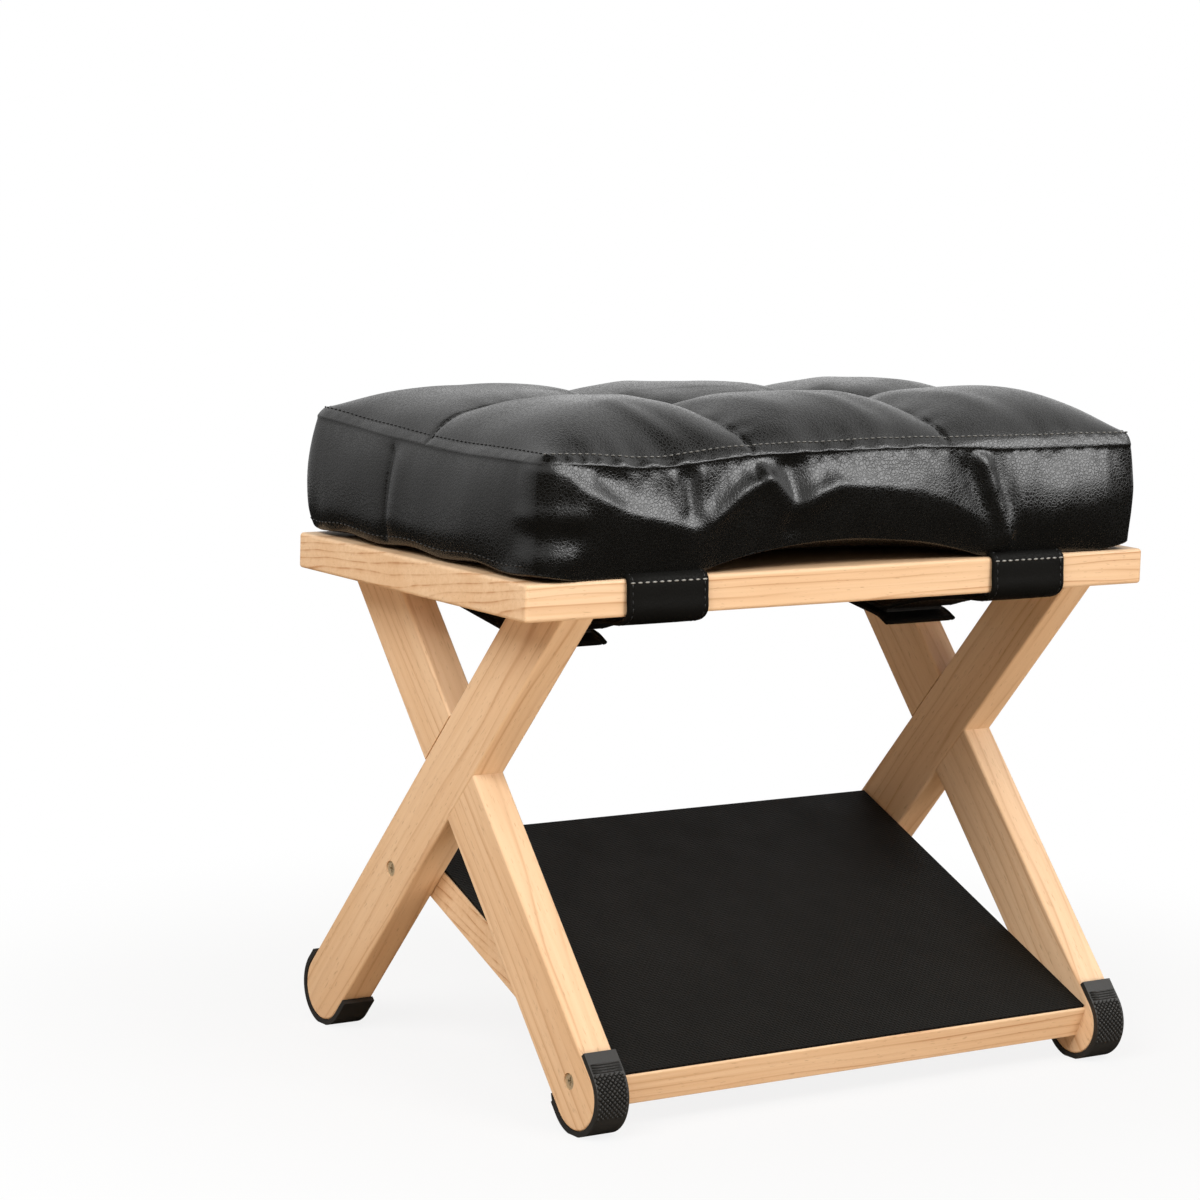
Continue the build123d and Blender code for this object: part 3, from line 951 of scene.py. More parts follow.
@dataclass
class Straps:
    """Leatherette straps: each runs from under the cushion over the board's edge and back below the board."""

    leather: Material
    sewing: Sewing
    # thread of the tack rows, drawn pale as a painted highlight
    top_sewing: Sewing
    thickness: float = 0.0027
    edge_margin: float = 0.003
    under_cushion: Span = (0.018, 0.010)  # first points, in from the board's edge
    bend: float = 0.0040
    path_step: float = 0.002
    tail_drop: float = 0.0025
    rear_droop: float = math.radians(9.3)
    front_droop: float = math.radians(10.46)
    rear_runs: tuple[float, ...] = (0.008, 0.030, 0.060, 0.090, 0.122, 0.139)
    rear_length: float = 0.1484
    # Each run with its share of the droop
    front_runs: Table = ((0.008, 0.9), (0.030, 0.55), (0.060, 0.72), (0.085, 0.92), (0.0965, 1.0))
    front_length: float = 0.0996
    front_end: tuple[float, ...] = (0.003, 0.012, 0.021)
    groove: float = 0.0008  # half the width of a sewn groove
    groove_floor: float = 0.72  # of the half thickness
    stitch_lift: float = 0.42  # of the thickness, from the middle
    row_points: int = 12
    tack_drop: float = 0.0018  # of the front row below the board's top
    blend_reach: Span = (0.004, 0.006)  # up or down and inwards from a hinge

    def route(self, side: Side, end: End) -> np.ndarray:
        """Centre line of a strap, from under the cushion to its free end.

        Args:
            side: Left or right.
            end: Front or rear.

        Returns:
            Points along the line.
        """
        board_low, board_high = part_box("top_board")
        hinge = self.hinge(side, end)
        out, under = abs(hinge.y), hinge.z
        top = board_high.z + self.thickness / 2
        points = [(board_high.y - inward, top) for inward in self.under_cushion]
        points += [(out - self.bend * (1 - math.sin(a)), top - self.bend * (1 - math.cos(a)))
                   for a in np.linspace(0, math.pi / 2, 5)]
        points += [(out + 0.0003, (board_low.z + board_high.z) / 2), (out + 0.0002, board_low.z + 0.001)]
        rear_cos, rear_sin = math.cos(self.rear_droop), math.sin(self.rear_droop)
        if end is End.REAR:
            points += [(out - run * rear_cos, under - run * rear_sin) for run in self.rear_runs]
            points.append((out - self.rear_length * rear_cos,
                           under - self.rear_length * rear_sin - self.tail_drop))
        else:
            cos, sin = math.cos(self.front_droop), math.sin(self.front_droop)
            points += [(out - run * cos, under - run * sin * drop) for run, drop in self.front_runs]
            knee = out - self.front_length * cos, under - self.front_length * sin
            points += [(knee[0] - run * rear_cos, knee[1] + run * rear_sin) for run in self.front_end]
        route = np.array([(hinge.x, end.value * y, z) for y, z in points])
        return resample(catmull(route), self.path_step)

    def hinge(self, side: Side, end: End) -> Vector:
        """Where a strap turns under the board."""
        name = f"{side.word}_{end.word}_flap_hinge"
        return Vector(next(joint for joint in frame["joints"] if joint["name"] == name)["pos_m"])

    def outward(self, route: np.ndarray, end: End) -> np.ndarray:
        """Direction out of a strap's outer face at each point of its route."""
        tangents = np.gradient(route, axis=0)
        tangents /= np.linalg.norm(tangents, axis=1)[:, None]
        return np.cross(tangents, (1.0, 0.0, 0.0)) * -end.value

    def band(self, name: str, route: np.ndarray, end: End, width: float) -> Object:
        """Make a strap as a flat band with rounded edges and a sewn groove near each edge.

        Args:
            name: The piece's name.
            route: Its centre line.
            end: Front or rear.
            width: Its width.

        Returns:
            The strap.
        """
        across = np.array((1.0, 0.0, 0.0))
        edge = -width / 2
        sewn = edge + self.edge_margin
        # Half of the outer face, as places across and shares of the half thickness
        shape = [(edge, 0.0), (edge + 0.0003, 0.55), (edge + 0.0011, 0.9), (sewn - self.groove, 1.0),
                 (sewn, self.groove_floor), (sewn + self.groove, 1.0), (edge * 0.5, 1.06), (0.0, 1.08)]
        upper = shape + [(-x, h) for x, h in reversed(shape[:-1])]
        ring = upper + [(x, -h) for x, h in reversed(upper[1:-1])]
        count = len(ring)
        points = [centre + across * x + normal * h * self.thickness / 2
                  for centre, normal in zip(route, self.outward(route, end)) for x, h in ring]
        faces = []
        for row in range(0, (len(route) - 1) * count, count):
            for number in range(count):
                after = (number + 1) % count
                faces.append([row + number, row + after, row + count + after, row + count + number])
        faces.append(list(range(count))[::-1])
        faces.append([(len(route) - 1) * count + number for number in range(count)])
        if end is End.FRONT:
            faces = [face[::-1] for face in faces]
        return new_piece(name, np.array(points), faces)

    def build(self) -> None:
        """Make the four straps with their stitches."""
        board_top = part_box("top_board")[1].z
        shares = np.linspace(-1, 1, self.row_points)
        across = np.array((1.0, 0.0, 0.0))
        for side, end, word in CORNERS:
            low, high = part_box(f"{word}_strap")
            width = high.x - low.x
            route = self.route(side, end)
            band = self.band(f"{word}_strap_band", route, end, width)
            dress(band, self.leather)
            reach = width / 2 - self.edge_margin
            lifted = route + self.outward(route, end) * self.thickness * self.stitch_lift
            chains = [lifted[6:-2] + across * edge * reach for edge in (-1, 1)]
            chains.append(np.array([lifted[-3] + across * share * reach for share in shares]))
            stitches = self.sewing.sew(f"{word}_strap_stitches", chains)
            pivot = self.hinge(side, end)
            for piece in (band, stitches):
                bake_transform(piece)
            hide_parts(f"{word}_strap", f"{word}_strap_flap")
            log.info("%s: %d points along its route", band.name, len(route))
            face_y = end.value * (abs(pivot.y) + self.thickness * 0.5)
            row = [(pivot.x + share * reach, face_y, board_top - self.tack_drop) for share in shares]
            tack = self.top_sewing.sew(f"{word}_strap_tack", [np.array(row)])
            hand_over(tack, "cushion")


@dataclass(frozen=True)
class Fold:
    """A soft ridge, or a hollow where its rise is negative: a stroke between two places on a panel."""

    start: Span
    end: Span
    width: float
    rise: float

    def height(self, across: np.ndarray, up: np.ndarray) -> np.ndarray:
        """How far the stroke lifts the panel.

        Args:
            across: First panel coordinate of each point.
            up: Second panel coordinate of each point.

        Returns:
            The lift of each point.
        """
        run = np.array(self.end) - np.array(self.start)
        share = ((across - self.start[0]) * run[0] + (up - self.start[1]) * run[1]) / max(run @ run, 1e-12)
        share = np.clip(share, 0, 1)
        gap = np.hypot(across - self.start[0] - share * run[0], up - self.start[1] - share * run[1])
        return self.rise * np.exp(-(gap / self.width) ** 2)


def spot(place: Span, width: float, rise: float) -> Fold:
    """A round rise, or a dip where it is negative, at one place."""
    return Fold(place, place, width, rise)


@dataclass(frozen=True)
class SidePanel:
    """How one side of the cushion stands out from the edge band, with tables of places along the side."""

    belly: float
    tuck: float
    crest: Table  # height above the board
    crease: Table = ((-1.0, 0.0), (1.0, 0.0))  # share of a sharp crest
    full: Table = ((-1.0, 1.0), (1.0, 1.0))  # share of the belly
    folds: tuple[Fold, ...] = ()


FRONT_PANEL = SidePanel(
    belly=0.0060,
    tuck=0.0000,
    crest=((-0.205, 0.060), (-0.190, 0.058), (-0.179, 0.049), (-0.154, 0.039), (-0.109, 0.026),
           (-0.098, 0.027), (-0.080, 0.042), (-0.061, 0.050), (-0.050, 0.041), (-0.039, 0.029),
           (-0.028, 0.036), (-0.016, 0.041), (0.010, 0.037), (0.045, 0.033), (0.085, 0.022), (0.094, 0.020),
           (0.101, 0.012), (0.107, 0.012), (0.113, 0.028), (0.140, 0.027), (0.176, 0.031), (0.205, 0.036)),
    crease=((-0.19, 0.3), (-0.165, 1.0), (-0.010, 1.0), (0.015, 0.55), (0.085, 0.6), (0.112, 0.2),
            (0.205, 0.1)),
    full=((-0.205, 0.35), (-0.190, 0.75), (-0.17, 1.0), (0.09, 1.0), (0.115, 1.3), (0.17, 1.3),
          (0.205, 0.55)),
    folds=(
        Fold((-0.110, 0.350), (-0.109, 0.324), 0.0045, -0.0024),
        Fold((-0.120, 0.348), (-0.114, 0.326), 0.0040, 0.0016),
        Fold((-0.101, 0.348), (-0.103, 0.324), 0.0040, 0.0018),
        Fold((-0.206, 0.3240), (-0.182, 0.3235), 0.0055, 0.0030),
        Fold((-0.206, 0.3150), (-0.180, 0.3140), 0.0045, -0.0012),
        Fold((-0.206, 0.302), (-0.186, 0.301), 0.0065, 0.0038),
        Fold((-0.042, 0.346), (-0.040, 0.312), 0.0060, -0.0032),
        Fold((-0.095, 0.320), (-0.061, 0.341), 0.0050, 0.0014),
        Fold((-0.061, 0.341), (-0.044, 0.322), 0.0045, 0.0016),
        Fold((-0.034, 0.324), (-0.016, 0.331), 0.0050, 0.0016),
        Fold((0.079, 0.340), (0.096, 0.306), 0.0055, -0.0017),
        Fold((0.090, 0.347), (0.107, 0.299), 0.0034, 0.0046),
        Fold((0.140, 0.347), (0.128, 0.320), 0.0090, -0.0008),
        Fold((-0.160, 0.346), (-0.150, 0.330), 0.0080, -0.0012),
    ),
)
REAR_PANEL = SidePanel(
    belly=0.0046,
    tuck=0.0016,
    crest=((-0.205, 0.030), (-0.120, 0.036), (-0.067, 0.024), (0.010, 0.034), (0.067, 0.025), (0.130, 0.035),
           (0.205, 0.028)),
    folds=(
        Fold((-0.067, 0.348), (-0.060, 0.312), 0.0060, -0.0026),
        Fold((0.067, 0.348), (0.074, 0.310), 0.0060, -0.0026),
        Fold((0.020, 0.346), (0.000, 0.318), 0.0090, -0.0014),
        Fold((-0.150, 0.345), (-0.135, 0.318), 0.0080, -0.0015),
        Fold((0.155, 0.346), (0.140, 0.320), 0.0080, -0.0015),
    ),
)
LEFT_PANEL = SidePanel(
    belly=0.0070,
    tuck=-0.0036,
    crest=((-0.120, 0.017), (0.000, 0.014), (0.120, 0.012)),
    full=((-0.120, -0.1), (-0.105, 0.25), (-0.080, 0.66), (-0.050, 0.90), (-0.010, 1.0), (0.120, 1.0)),
    folds=(
        Fold((0.031, 0.346), (0.031, 0.298), 0.0012, -0.0019),
        Fold((0.031, 0.346), (0.031, 0.298), 0.0070, -0.0008),
        Fold((0.019, 0.340), (0.023, 0.310), 0.0060, 0.0010),
    ),
)
RIGHT_PANEL = SidePanel(
    belly=0.0004,
    tuck=-0.0014,
    crest=((-0.120, 0.024), (0.000, 0.020), (0.120, 0.020)),
    folds=(
        Fold((-0.031, 0.350), (-0.031, 0.300), 0.0030, -0.0015),
        Fold((0.050, 0.345), (0.040, 0.312), 0.0100, -0.0014),
    ),
)
PANELS = (FRONT_PANEL, REAR_PANEL, LEFT_PANEL, RIGHT_PANEL)
TOP_FOLDS = (
    Fold((-0.128, -0.070), (-0.108, -0.116), 0.0070, 0.0010),
    Fold((-0.117, -0.075), (-0.097, -0.116), 0.0060, -0.0007),
    Fold((-0.060, -0.030), (-0.030, -0.085), 0.0100, 0.0011),
    Fold((-0.085, -0.020), (-0.120, -0.060), 0.0100, 0.0009),
    Fold((0.000, -0.060), (0.030, -0.114), 0.0080, 0.0010),
    Fold((0.012, -0.060), (0.044, -0.114), 0.0070, -0.0007),
    Fold((0.050, -0.030), (0.020, -0.075), 0.0100, 0.0009),
    Fold((0.080, -0.035), (0.110, -0.090), 0.0090, 0.0010),
    Fold((0.120, -0.075), (0.135, -0.114), 0.0080, -0.0006),
    Fold((0.095, 0.015), (0.140, 0.030), 0.0100, 0.0009),
    Fold((-0.050, 0.030), (-0.020, 0.080), 0.0100, 0.0009),
    Fold((0.050, 0.030), (0.020, 0.085), 0.0100, 0.0009),
    Fold((-0.090, 0.030), (-0.125, 0.080), 0.0100, 0.0009),
    Fold((0.090, 0.030), (0.125, 0.080), 0.0100, 0.0009),
)
EDGE_FOLDS = (
    spot((-0.13, -0.117), 0.040, -0.0045),
    spot((-0.20, -0.03), 0.060, -0.0025),
    spot((-0.20, 0.115), 0.045, 0.0035),
    spot((0.03, -0.117), 0.06, 0.0008),
    spot((0.07, 0.117), 0.05, -0.003),
    spot((0.2, 0.0), 0.05, -0.002),
)
LEATHERETTE_CLOTH = {
    "quality": 5,
    "mass": 0.25,
    "tension_stiffness": 14.0,
    "compression_stiffness": 9.0,
    "shear_stiffness": 5.0,
    "bending_stiffness": 1.5,
    "air_damping": 5.0,
}


@dataclass(frozen=True)
class Wrinkles:
    """Heights and spacings of the cover's small wrinkles."""

    rays: float = 0.0013  # round the tufts
    ray_count: int = 9
    ray_reach: float = 0.030
    pucker: float = 0.0003  # along the seams of the top and inside its rim
    pucker_pitch: float = 0.017
    pucker_reach: float = 0.007
    groove: float = 0.0007  # where a seam is drawn down
    groove_width: float = 0.0018
    rim_pitch: float = 0.026
    side_pucker: Span = (0.00012, 0.0004)  # below the band: everywhere, and more on the long sides
    side_pitch: float = 0.0115
    side_reach: float = 0.009
    band: Span = (0.0001, 0.0004)  # on the band: everywhere, and more on the long sides
    band_pitch: float = 0.0135
    slow: float = 0.0007
    slow_pace: float = 28.0  # patches to the metre
    mottle: float = 0.00016  # on the long sides
    mottle_pace: float = 95.0


def ripple(along: np.ndarray, pitch: float, stray: float, pace: float) -> np.ndarray:
    """A row of puckers with uneven spacing.

    Args:
        along: Places along the row.
        pitch: Their mean spacing.
        stray: How far they stray from it, in radians of a wave.
        pace: How fast the straying changes, in radians to the metre.

    Returns:
        Their height at each place, from -1 to 1.
    """
    return np.sin(2 * math.pi * along / pitch + stray * np.sin(along * pace))


@dataclass
class CoverMesh:
    """The cover before it swells."""

    points: np.ndarray
    faces: list[list[int]]
    seams: dict[Seam, list[int]]
    held: list[int]  # points that do not swell


@dataclass
class Cushion:
    """Tufted box cushion: a sewn cover with six crowned panels, an edge band and sides with soft folds."""

    leather: Material
    foam: Material
    sewing: Sewing
    # thread of the front band's stitches, drawn paler as a painted highlight
    front_sewing: Sewing
    wrinkles: Wrinkles = Wrinkles()
    cell: float = 0.0045
    tight: float = 0.0016
    overhang: float = 0.0002  # of the CAD form beyond the edge band
    corner_radius: float = 0.0040
    squareness: float = 0.2
    corner_blend: float = 0.022
    draw_in: Span = (0.0021, 0.0042)  # of the ends and the long sides
    edge_level: float = 0.067  # top edge above the board
    band_drop: float = 0.0050
    band_run: float = 0.0046
    band_curve: Table = ((0.12, 0.24), (0.45, 0.62), (0.85, 0.97), (1.0, 1.0))  # shares of the drop and the run
    band_lip: float = 0.0006  # of the band over the side below it
    wide_band: Span = (0.06, 0.11)  # where the front band gets wider
    wide_drop: float = 0.45
    wide_run: float = 0.2
    seam_x: float = 0.067
    end_seam: float = 0.031  # place of the upright seam of the left end
    crown: float = 0.0208
    rear_sink: float = 0.20  # how much lower the top is towards the rear
    rear_span: Span = (-0.02, 0.07)
    shoulder_reach: float = 0.055
    shoulder_power: float = 2.2
    end_power: float = 0.6
    side_power: float = 0.85
    middle_depth: Table = (
        (-0.20, 0.0040), (-0.166, 0.0062), (-0.125, 0.0034), (-0.10, 0.0060), (-0.067, 0.0180), (0.0, 0.0125),
        (0.067, 0.0180), (0.10, 0.0125), (0.162, 0.0060), (0.20, 0.0040),
    )
    cross_depth: Span = (0.0100, 0.0050)  # front and rear stretches
    valley_width: float = 0.017
    valley_power: float = 1.25
    tuft_depth: float = 0.024
    tuft_width: float = 0.022
    tuft_power: float = 1.4
    merge_power: float = 3.0  # how sharply valleys meet
    base_gap: float = 0.0004  # of the bottom over the board
    foot_lift: float = 0.0032  # bottom edge above that, at the ends
    foot_reach: float = 0.025
    foot_wave: float = 0.0012
    rear_lift: float = 0.003
    arch_rise: float = 0.0135
    arch_centre: float = -0.003
    arch_half: float = 0.096
    arch_reach: float = 0.034
    side_start: Span = (0.985, 0.94)  # first rows below the band, as shares of the side
    side_rows: int = 19
    hem: float = 0.075  # height of the low seam, as a share of the side
    hem_steps: Span = (0.5, 0.15)  # rows below it, as shares of its height
    pressure: float = 2.0
    slack: float = 0.008
    swell_frames: int = 20
    swell_rounds: int = 30
    swell_limit: float = 0.0022
    stitch_lift: float = 0.0002
    sunk_stitch_lift: float = -0.0003  # along the lower edge of the band
    foam_inset: float = 0.009

    def __post_init__(self) -> None:
        """Take the cushion's place from the frame."""
        low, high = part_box("cushion_cover")
        self.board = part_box("top_board")[1].z
        self.half_length = (high.x - low.x) / 2 - self.overhang - self.band_run
        self.half_depth = (high.y - low.y) / 2 - self.overhang - self.band_run
        self.edge = self.board + self.edge_level

    def edge_height(self, x: np.ndarray, y: np.ndarray) -> np.ndarray:
        """Height of the top edge round the cushion, which sags and lifts a little."""
        return self.edge + sum(fold.height(x, y) for fold in EDGE_FOLDS)

    def shoulder(self, gap: np.ndarray, power: float) -> np.ndarray:
        """Rise of the top with the distance from its rim, steep at first and level further in.

        Args:
            gap: The distance from the rim.
            power: How soon it rises: less is sooner.

        Returns:
            The share of the full rise.
        """
        share = np.clip(gap / self.shoulder_reach, 0, 1)
        return (1 - (1 - share) ** self.shoulder_power) ** power

    def top_height(self, x: np.ndarray, y: np.ndarray) -> np.ndarray:
        """Height of the top: a crowned form with valleys along its seams, deepest at the two tufts."""
        from_end = self.shoulder(self.half_length - np.abs(x), self.end_power)
        from_side = self.shoulder(self.half_depth - np.abs(y), self.side_power)
        crown = self.crown * (1 - self.rear_sink * smoothstep(*self.rear_span, y))
        height = self.edge_height(x, y) + crown * from_end * from_side
        sunk = np.interp(x, *np.array(self.middle_depth).T) * from_end
        valleys = [sunk * np.exp(-(np.abs(y) / self.valley_width) ** self.valley_power)]
        depth = np.where(y < 0, *self.cross_depth) * from_side
        for seam_x in (-self.seam_x, self.seam_x):
            across = np.abs(x - seam_x) / self.valley_width
            valleys.append(depth * np.exp(-across ** self.valley_power))
            round_tuft = np.hypot(x - seam_x, y) / self.tuft_width
            valleys.append(self.tuft_depth * np.exp(-round_tuft ** self.tuft_power))
        height -= sum(valley ** self.merge_power for valley in valleys) ** (1 / self.merge_power)
        for fold in TOP_FOLDS:
            height += fold.height(x, y) * from_end * from_side
        return height

    def underside(self, x: np.ndarray, y: np.ndarray) -> np.ndarray:
        """Height of the bottom, which lifts towards its ends and arches at the front."""
        end_gap = self.half_length - np.abs(x)
        lift = self.foot_lift * np.clip(1 - end_gap / self.foot_reach, 0, 1) ** 2
        wave = self.foot_wave * np.sin(y * 95.0 + 0.7) * smoothstep(0.02, 0.0, end_gap)
        span = np.clip(1 - ((x - self.arch_centre) / self.arch_half) ** 2, 0, 1)
        front_gap = np.clip(y + self.half_depth, 0, None)
        arch = self.arch_rise * span ** 0.9 * np.exp(-front_gap / self.arch_reach)
        rear = self.rear_lift * smoothstep(0.02, 0.0, self.half_depth - y)
        rise = np.maximum(lift + wave, np.maximum(arch, rear))
        return self.board + self.base_gap + np.clip(rise, 0, None)

    def lines(self, stops: Sequence[float]) -> np.ndarray:
        """Grid lines between seams, with a close line on each side of every seam."""
        places: list[float] = []
        for low, high in zip(stops, stops[1:]):
            count = max(2, round((high - low - 2 * self.tight) / self.cell))
            places += [low, *np.linspace(low + self.tight, high - self.tight, count + 1)]
        return np.array([*places, stops[-1]])

    def rounded(self, x: np.ndarray, y: np.ndarray) -> tuple[np.ndarray, np.ndarray]:
        """Round the grid's corners and draw its sides in between them.

        Args:
            x: Grid places along the cushion.
            y: Grid places across it.

        Returns:
            The new places.
        """
        out_x = np.clip(np.abs(x) - (self.half_length - self.corner_radius), 0, None)
        out_y = np.clip(np.abs(y) - (self.half_depth - self.corner_radius), 0, None)
        long = np.hypot(out_x, out_y)
        share = np.where(long > 1e-9, np.maximum(out_x, out_y) / np.maximum(long, 1e-9), 1.0)
        new_x = np.sign(x) * (np.abs(x) - out_x + out_x * share)
        new_y = np.sign(y) * (np.abs(y) - out_y + out_y * share)
        share_x, share_y = np.abs(x) / self.half_length, np.abs(y) / self.half_depth
        pull_x = self.draw_in[0] * share_x ** 4 * (1 - share_y ** 2)
        pull_y = self.draw_in[1] * share_y ** 4 * (1 - share_x ** 2)
        return new_x - np.sign(x) * pull_x, new_y - np.sign(y) * pull_y

    def panel_offset(self, panel: SidePanel, along: np.ndarray, z: np.ndarray, share: float) -> np.ndarray:
        """How far one side panel stands out from the edge band.

        Args:
            panel: The side's form.
            along: Places along the side.
            z: Heights of the points.
            share: 0 at the bottom edge and 1 at the band.

        Returns:
            The outward offset of each point.
        """
        crest = np.interp(along, *np.array(panel.crest).T) / (self.edge_level - self.band_drop)
        creased = np.interp(along, *np.array(panel.crease).T)
        belly = panel.belly * np.interp(along, *np.array(panel.full).T)
        rise = np.clip(share - crest, 0, None) / (1 - crest)
        # A sharp crest falls off at once, and a soft one is round
        upper = creased * (1 - rise) ** 2.2 + (1 - creased) * (1 - rise ** 1.6)
        lower = (np.clip(crest - share, 0, None) / crest) ** (2 - 0.8 * creased)
        offset = belly * upper - (belly + panel.tuck) * lower
        held = smoothstep(1.0, 0.88, share)
        for fold in panel.folds:
            offset = offset + fold.height(along, z) * held
        return offset

    def side_offset(self, x: np.ndarray, y: np.ndarray, z: np.ndarray, share: float) -> np.ndarray:
        """How far the sides stand out, with each panel's form fading into the next round the corners.

        Args:
            x: Places along the cushion.
            y: Places across it.
            z: Heights of the points.
            share: 0 at the bottom edge and 1 at the band.

        Returns:
            The outward offset of each point.
        """
        gaps = (y + self.half_depth, self.half_depth - y, x + self.half_length, self.half_length - x)
        weights = [smoothstep(self.corner_blend, 0.0, gap) for gap in gaps]
        total = sum(weights)
        offset = np.zeros_like(x)
        for panel, along, weight in zip(PANELS, (x, x, y, y), weights):
            offset = offset + weight / total * self.panel_offset(panel, along, z, share)
        return offset

    def wall_rows(self, outline: np.ndarray, x: np.ndarray, y: np.ndarray) -> list[np.ndarray]:
        """Lay out the edge band and the sides.

        Args:
            outline: The rim of the top, once round.
            x: Grid places of its points along the cushion.
            y: Grid places across it.

        Returns:
            A row of points for each level, from the top down.
        """
        tangent = np.roll(outline, -1, axis=0) - np.roll(outline, 1, axis=0)
        outward = np.column_stack([tangent[:, 1], -tangent[:, 0], np.zeros(len(outline))])
        outward /= np.linalg.norm(outward, axis=1)[:, None]
        # Corner points go further out, so that the corners stay square
        outward *= 1 + self.squareness * (1 / np.abs(outward).max(axis=1)[:, None] - 1)
        edge = outline[:, 2]
        wide = smoothstep(*self.wide_band, x) * smoothstep(0.010, 0.0, y + self.half_depth)
        drop = self.band_drop * (1 + self.wide_drop * wide)
        run = (self.band_run * (1 - self.wide_run * wide))[:, None]
        rows: list[np.ndarray] = []
        for down, out in self.band_curve:
            row = outline + outward * run * out
            row[:, 2] = edge - drop * down
            rows.append(row)
        bottom = self.underside(x, y)
        side = outline + outward * (run - self.band_lip)
        first, second = self.side_start
        below_hem = [self.hem * step for step in self.hem_steps]
        for share in (first, *np.linspace(second, self.hem, self.side_rows), *below_hem, 0.0):
            z = bottom + (edge - drop - bottom) * share
            row = side + outward * self.side_offset(x, y, z, share)[:, None]
            row[:, 2] = z
            rows.append(row)
        return rows

    def cover_mesh(self) -> CoverMesh:
        """Lay out the cover's top, edge band, sides and underside as one closed mesh."""
        xs = self.lines([-self.half_length, -self.seam_x, self.seam_x, self.half_length])
        ys = self.lines([-self.half_depth, 0.0, self.end_seam, self.half_depth])
        nx, ny = len(xs), len(ys)
        grid_x, grid_y = np.meshgrid(xs, ys, indexing="ij")
        top_x, top_y = self.rounded(grid_x, grid_y)
        top_z = self.top_height(grid_x, grid_y)
        top_points = np.column_stack([top_x.ravel(), top_y.ravel(), top_z.ravel()])
        top = np.arange(nx * ny).reshape(nx, ny)
        loop = [(i, 0) for i in range(nx - 1)] + [(nx - 1, j) for j in range(ny - 1)]
        loop += [(i, ny - 1) for i in range(nx - 1, 0, -1)] + [(0, j) for j in range(ny - 1, 0, -1)]
        rim = np.array([top[i, j] for i, j in loop])
        rows = self.wall_rows(top_points[rim], np.array([xs[i] for i, _ in loop]),
                              np.array([ys[j] for _, j in loop]))
        count = nx * ny + len(rows) * len(rim)
        rings = [rim, *np.arange(nx * ny, count).reshape(len(rows), len(rim))]
        base = np.zeros((nx, ny), int)
        foot = np.zeros((nx, ny, 3))
        for number, (i, j) in enumerate(loop):
            base[i, j] = rings[-1][number]
            foot[i, j] = rows[-1][number]
        # The underside lies between its own edges
        across = (xs[1:-1, None] + self.half_length) / (2 * self.half_length)
        inside = (ys[None, 1:-1] + self.half_depth) / (2 * self.half_depth)
        inner_x = foot[0, 1:-1, 0] * (1 - across) + foot[-1, 1:-1, 0] * across
        inner_y = foot[1:-1, 0, 1][:, None] * (1 - inside) + foot[1:-1, -1, 1][:, None] * inside
        inner_z = self.underside(grid_x, grid_y)[1:-1, 1:-1]
        inner = np.column_stack([inner_x.ravel(), inner_y.ravel(), inner_z.ravel()])
        base[1:-1, 1:-1] = np.arange(count, count + len(inner)).reshape(nx - 2, ny - 2)
        faces = []
        for i in range(nx - 1):
            for j in range(ny - 1):
                faces.append([top[i, j], top[i + 1, j], top[i + 1, j + 1], top[i, j + 1]])
                faces.append([base[i, j], base[i, j + 1], base[i + 1, j + 1], base[i + 1, j]])
        for upper, lower in zip(rings, rings[1:]):
            for a in range(len(rim)):
                b = (a + 1) % len(rim)
                faces.append([upper[a], lower[a], lower[b], upper[b]])
        seams = {
            Seam.MIDDLE: list(top[:, int(np.argmin(np.abs(ys)))]),
            Seam.LEFT_CROSS: list(top[int(np.argmin(np.abs(xs + self.seam_x))), :]),
            Seam.RIGHT_CROSS: list(top[int(np.argmin(np.abs(xs - self.seam_x))), :]),
            Seam.BAND_FRONT: list(rim[:nx]),
            Seam.BAND_TOP: [*rim[nx - 1:], rim[0]],
            Seam.BAND_LOW: [*rings[3], rings[3][0]],
            Seam.HEM: list(rings[-4][nx + 2:-2]),
        }
        held = {int(number) for line in (*seams.values(), *rings[:5], base.ravel()) for number in line}
        return CoverMesh(np.vstack([top_points, *rows, inner]), faces, seams, sorted(held))

    def swell(self, cover: Object, held: list[int]) -> None:
        """Let the cover swell between its seams, as cloth under pressure, and keep the result.

        Args:
            cover: The cover.
            held: Points that stay where they are.
        """
        before = mesh_points(cover.data)
        group = cover.vertex_groups.new(name="sewn")
        group.add(held, 1.0, "REPLACE")
        modifier = cover.modifiers.new("swell", "CLOTH")
        settings = modifier.settings
        for name, value in LEATHERETTE_CLOTH.items():
            setattr(settings, name, value)
        settings.shrink_min = -self.slack
        settings.use_pressure = True
        settings.uniform_pressure_force = self.pressure
        settings.vertex_group_mass = group.name
        settings.effector_weights.gravity = 0.0
        modifier.collision_settings.use_collision = False
        modifier.point_cache.frame_start = 1
        modifier.point_cache.frame_end = self.swell_frames
        scene = bpy.context.scene
        for number in range(1, self.swell_frames + 1):
            scene.frame_set(number)
        swollen = settled(cover)
        after = mesh_points(swollen)
        cover.modifiers.remove(modifier)
        cover.vertex_groups.remove(group)
        bpy.data.meshes.remove(swollen)
        scene.frame_set(1)
        moved = evened(cover.data, after - before, self.swell_rounds, held)
        length = np.linalg.norm(moved, axis=1)
        moved *= np.minimum(1.0, self.swell_limit / np.maximum(length, 1e-9))[:, None]
        cover.data.vertices.foreach_set("co", (before + moved).ravel())
        cover.data.update()
        log.info("cushion cover swelled by up to %.1f mm, %.1f mm kept", length.max() * 1000,
                 self.swell_limit * 1000)

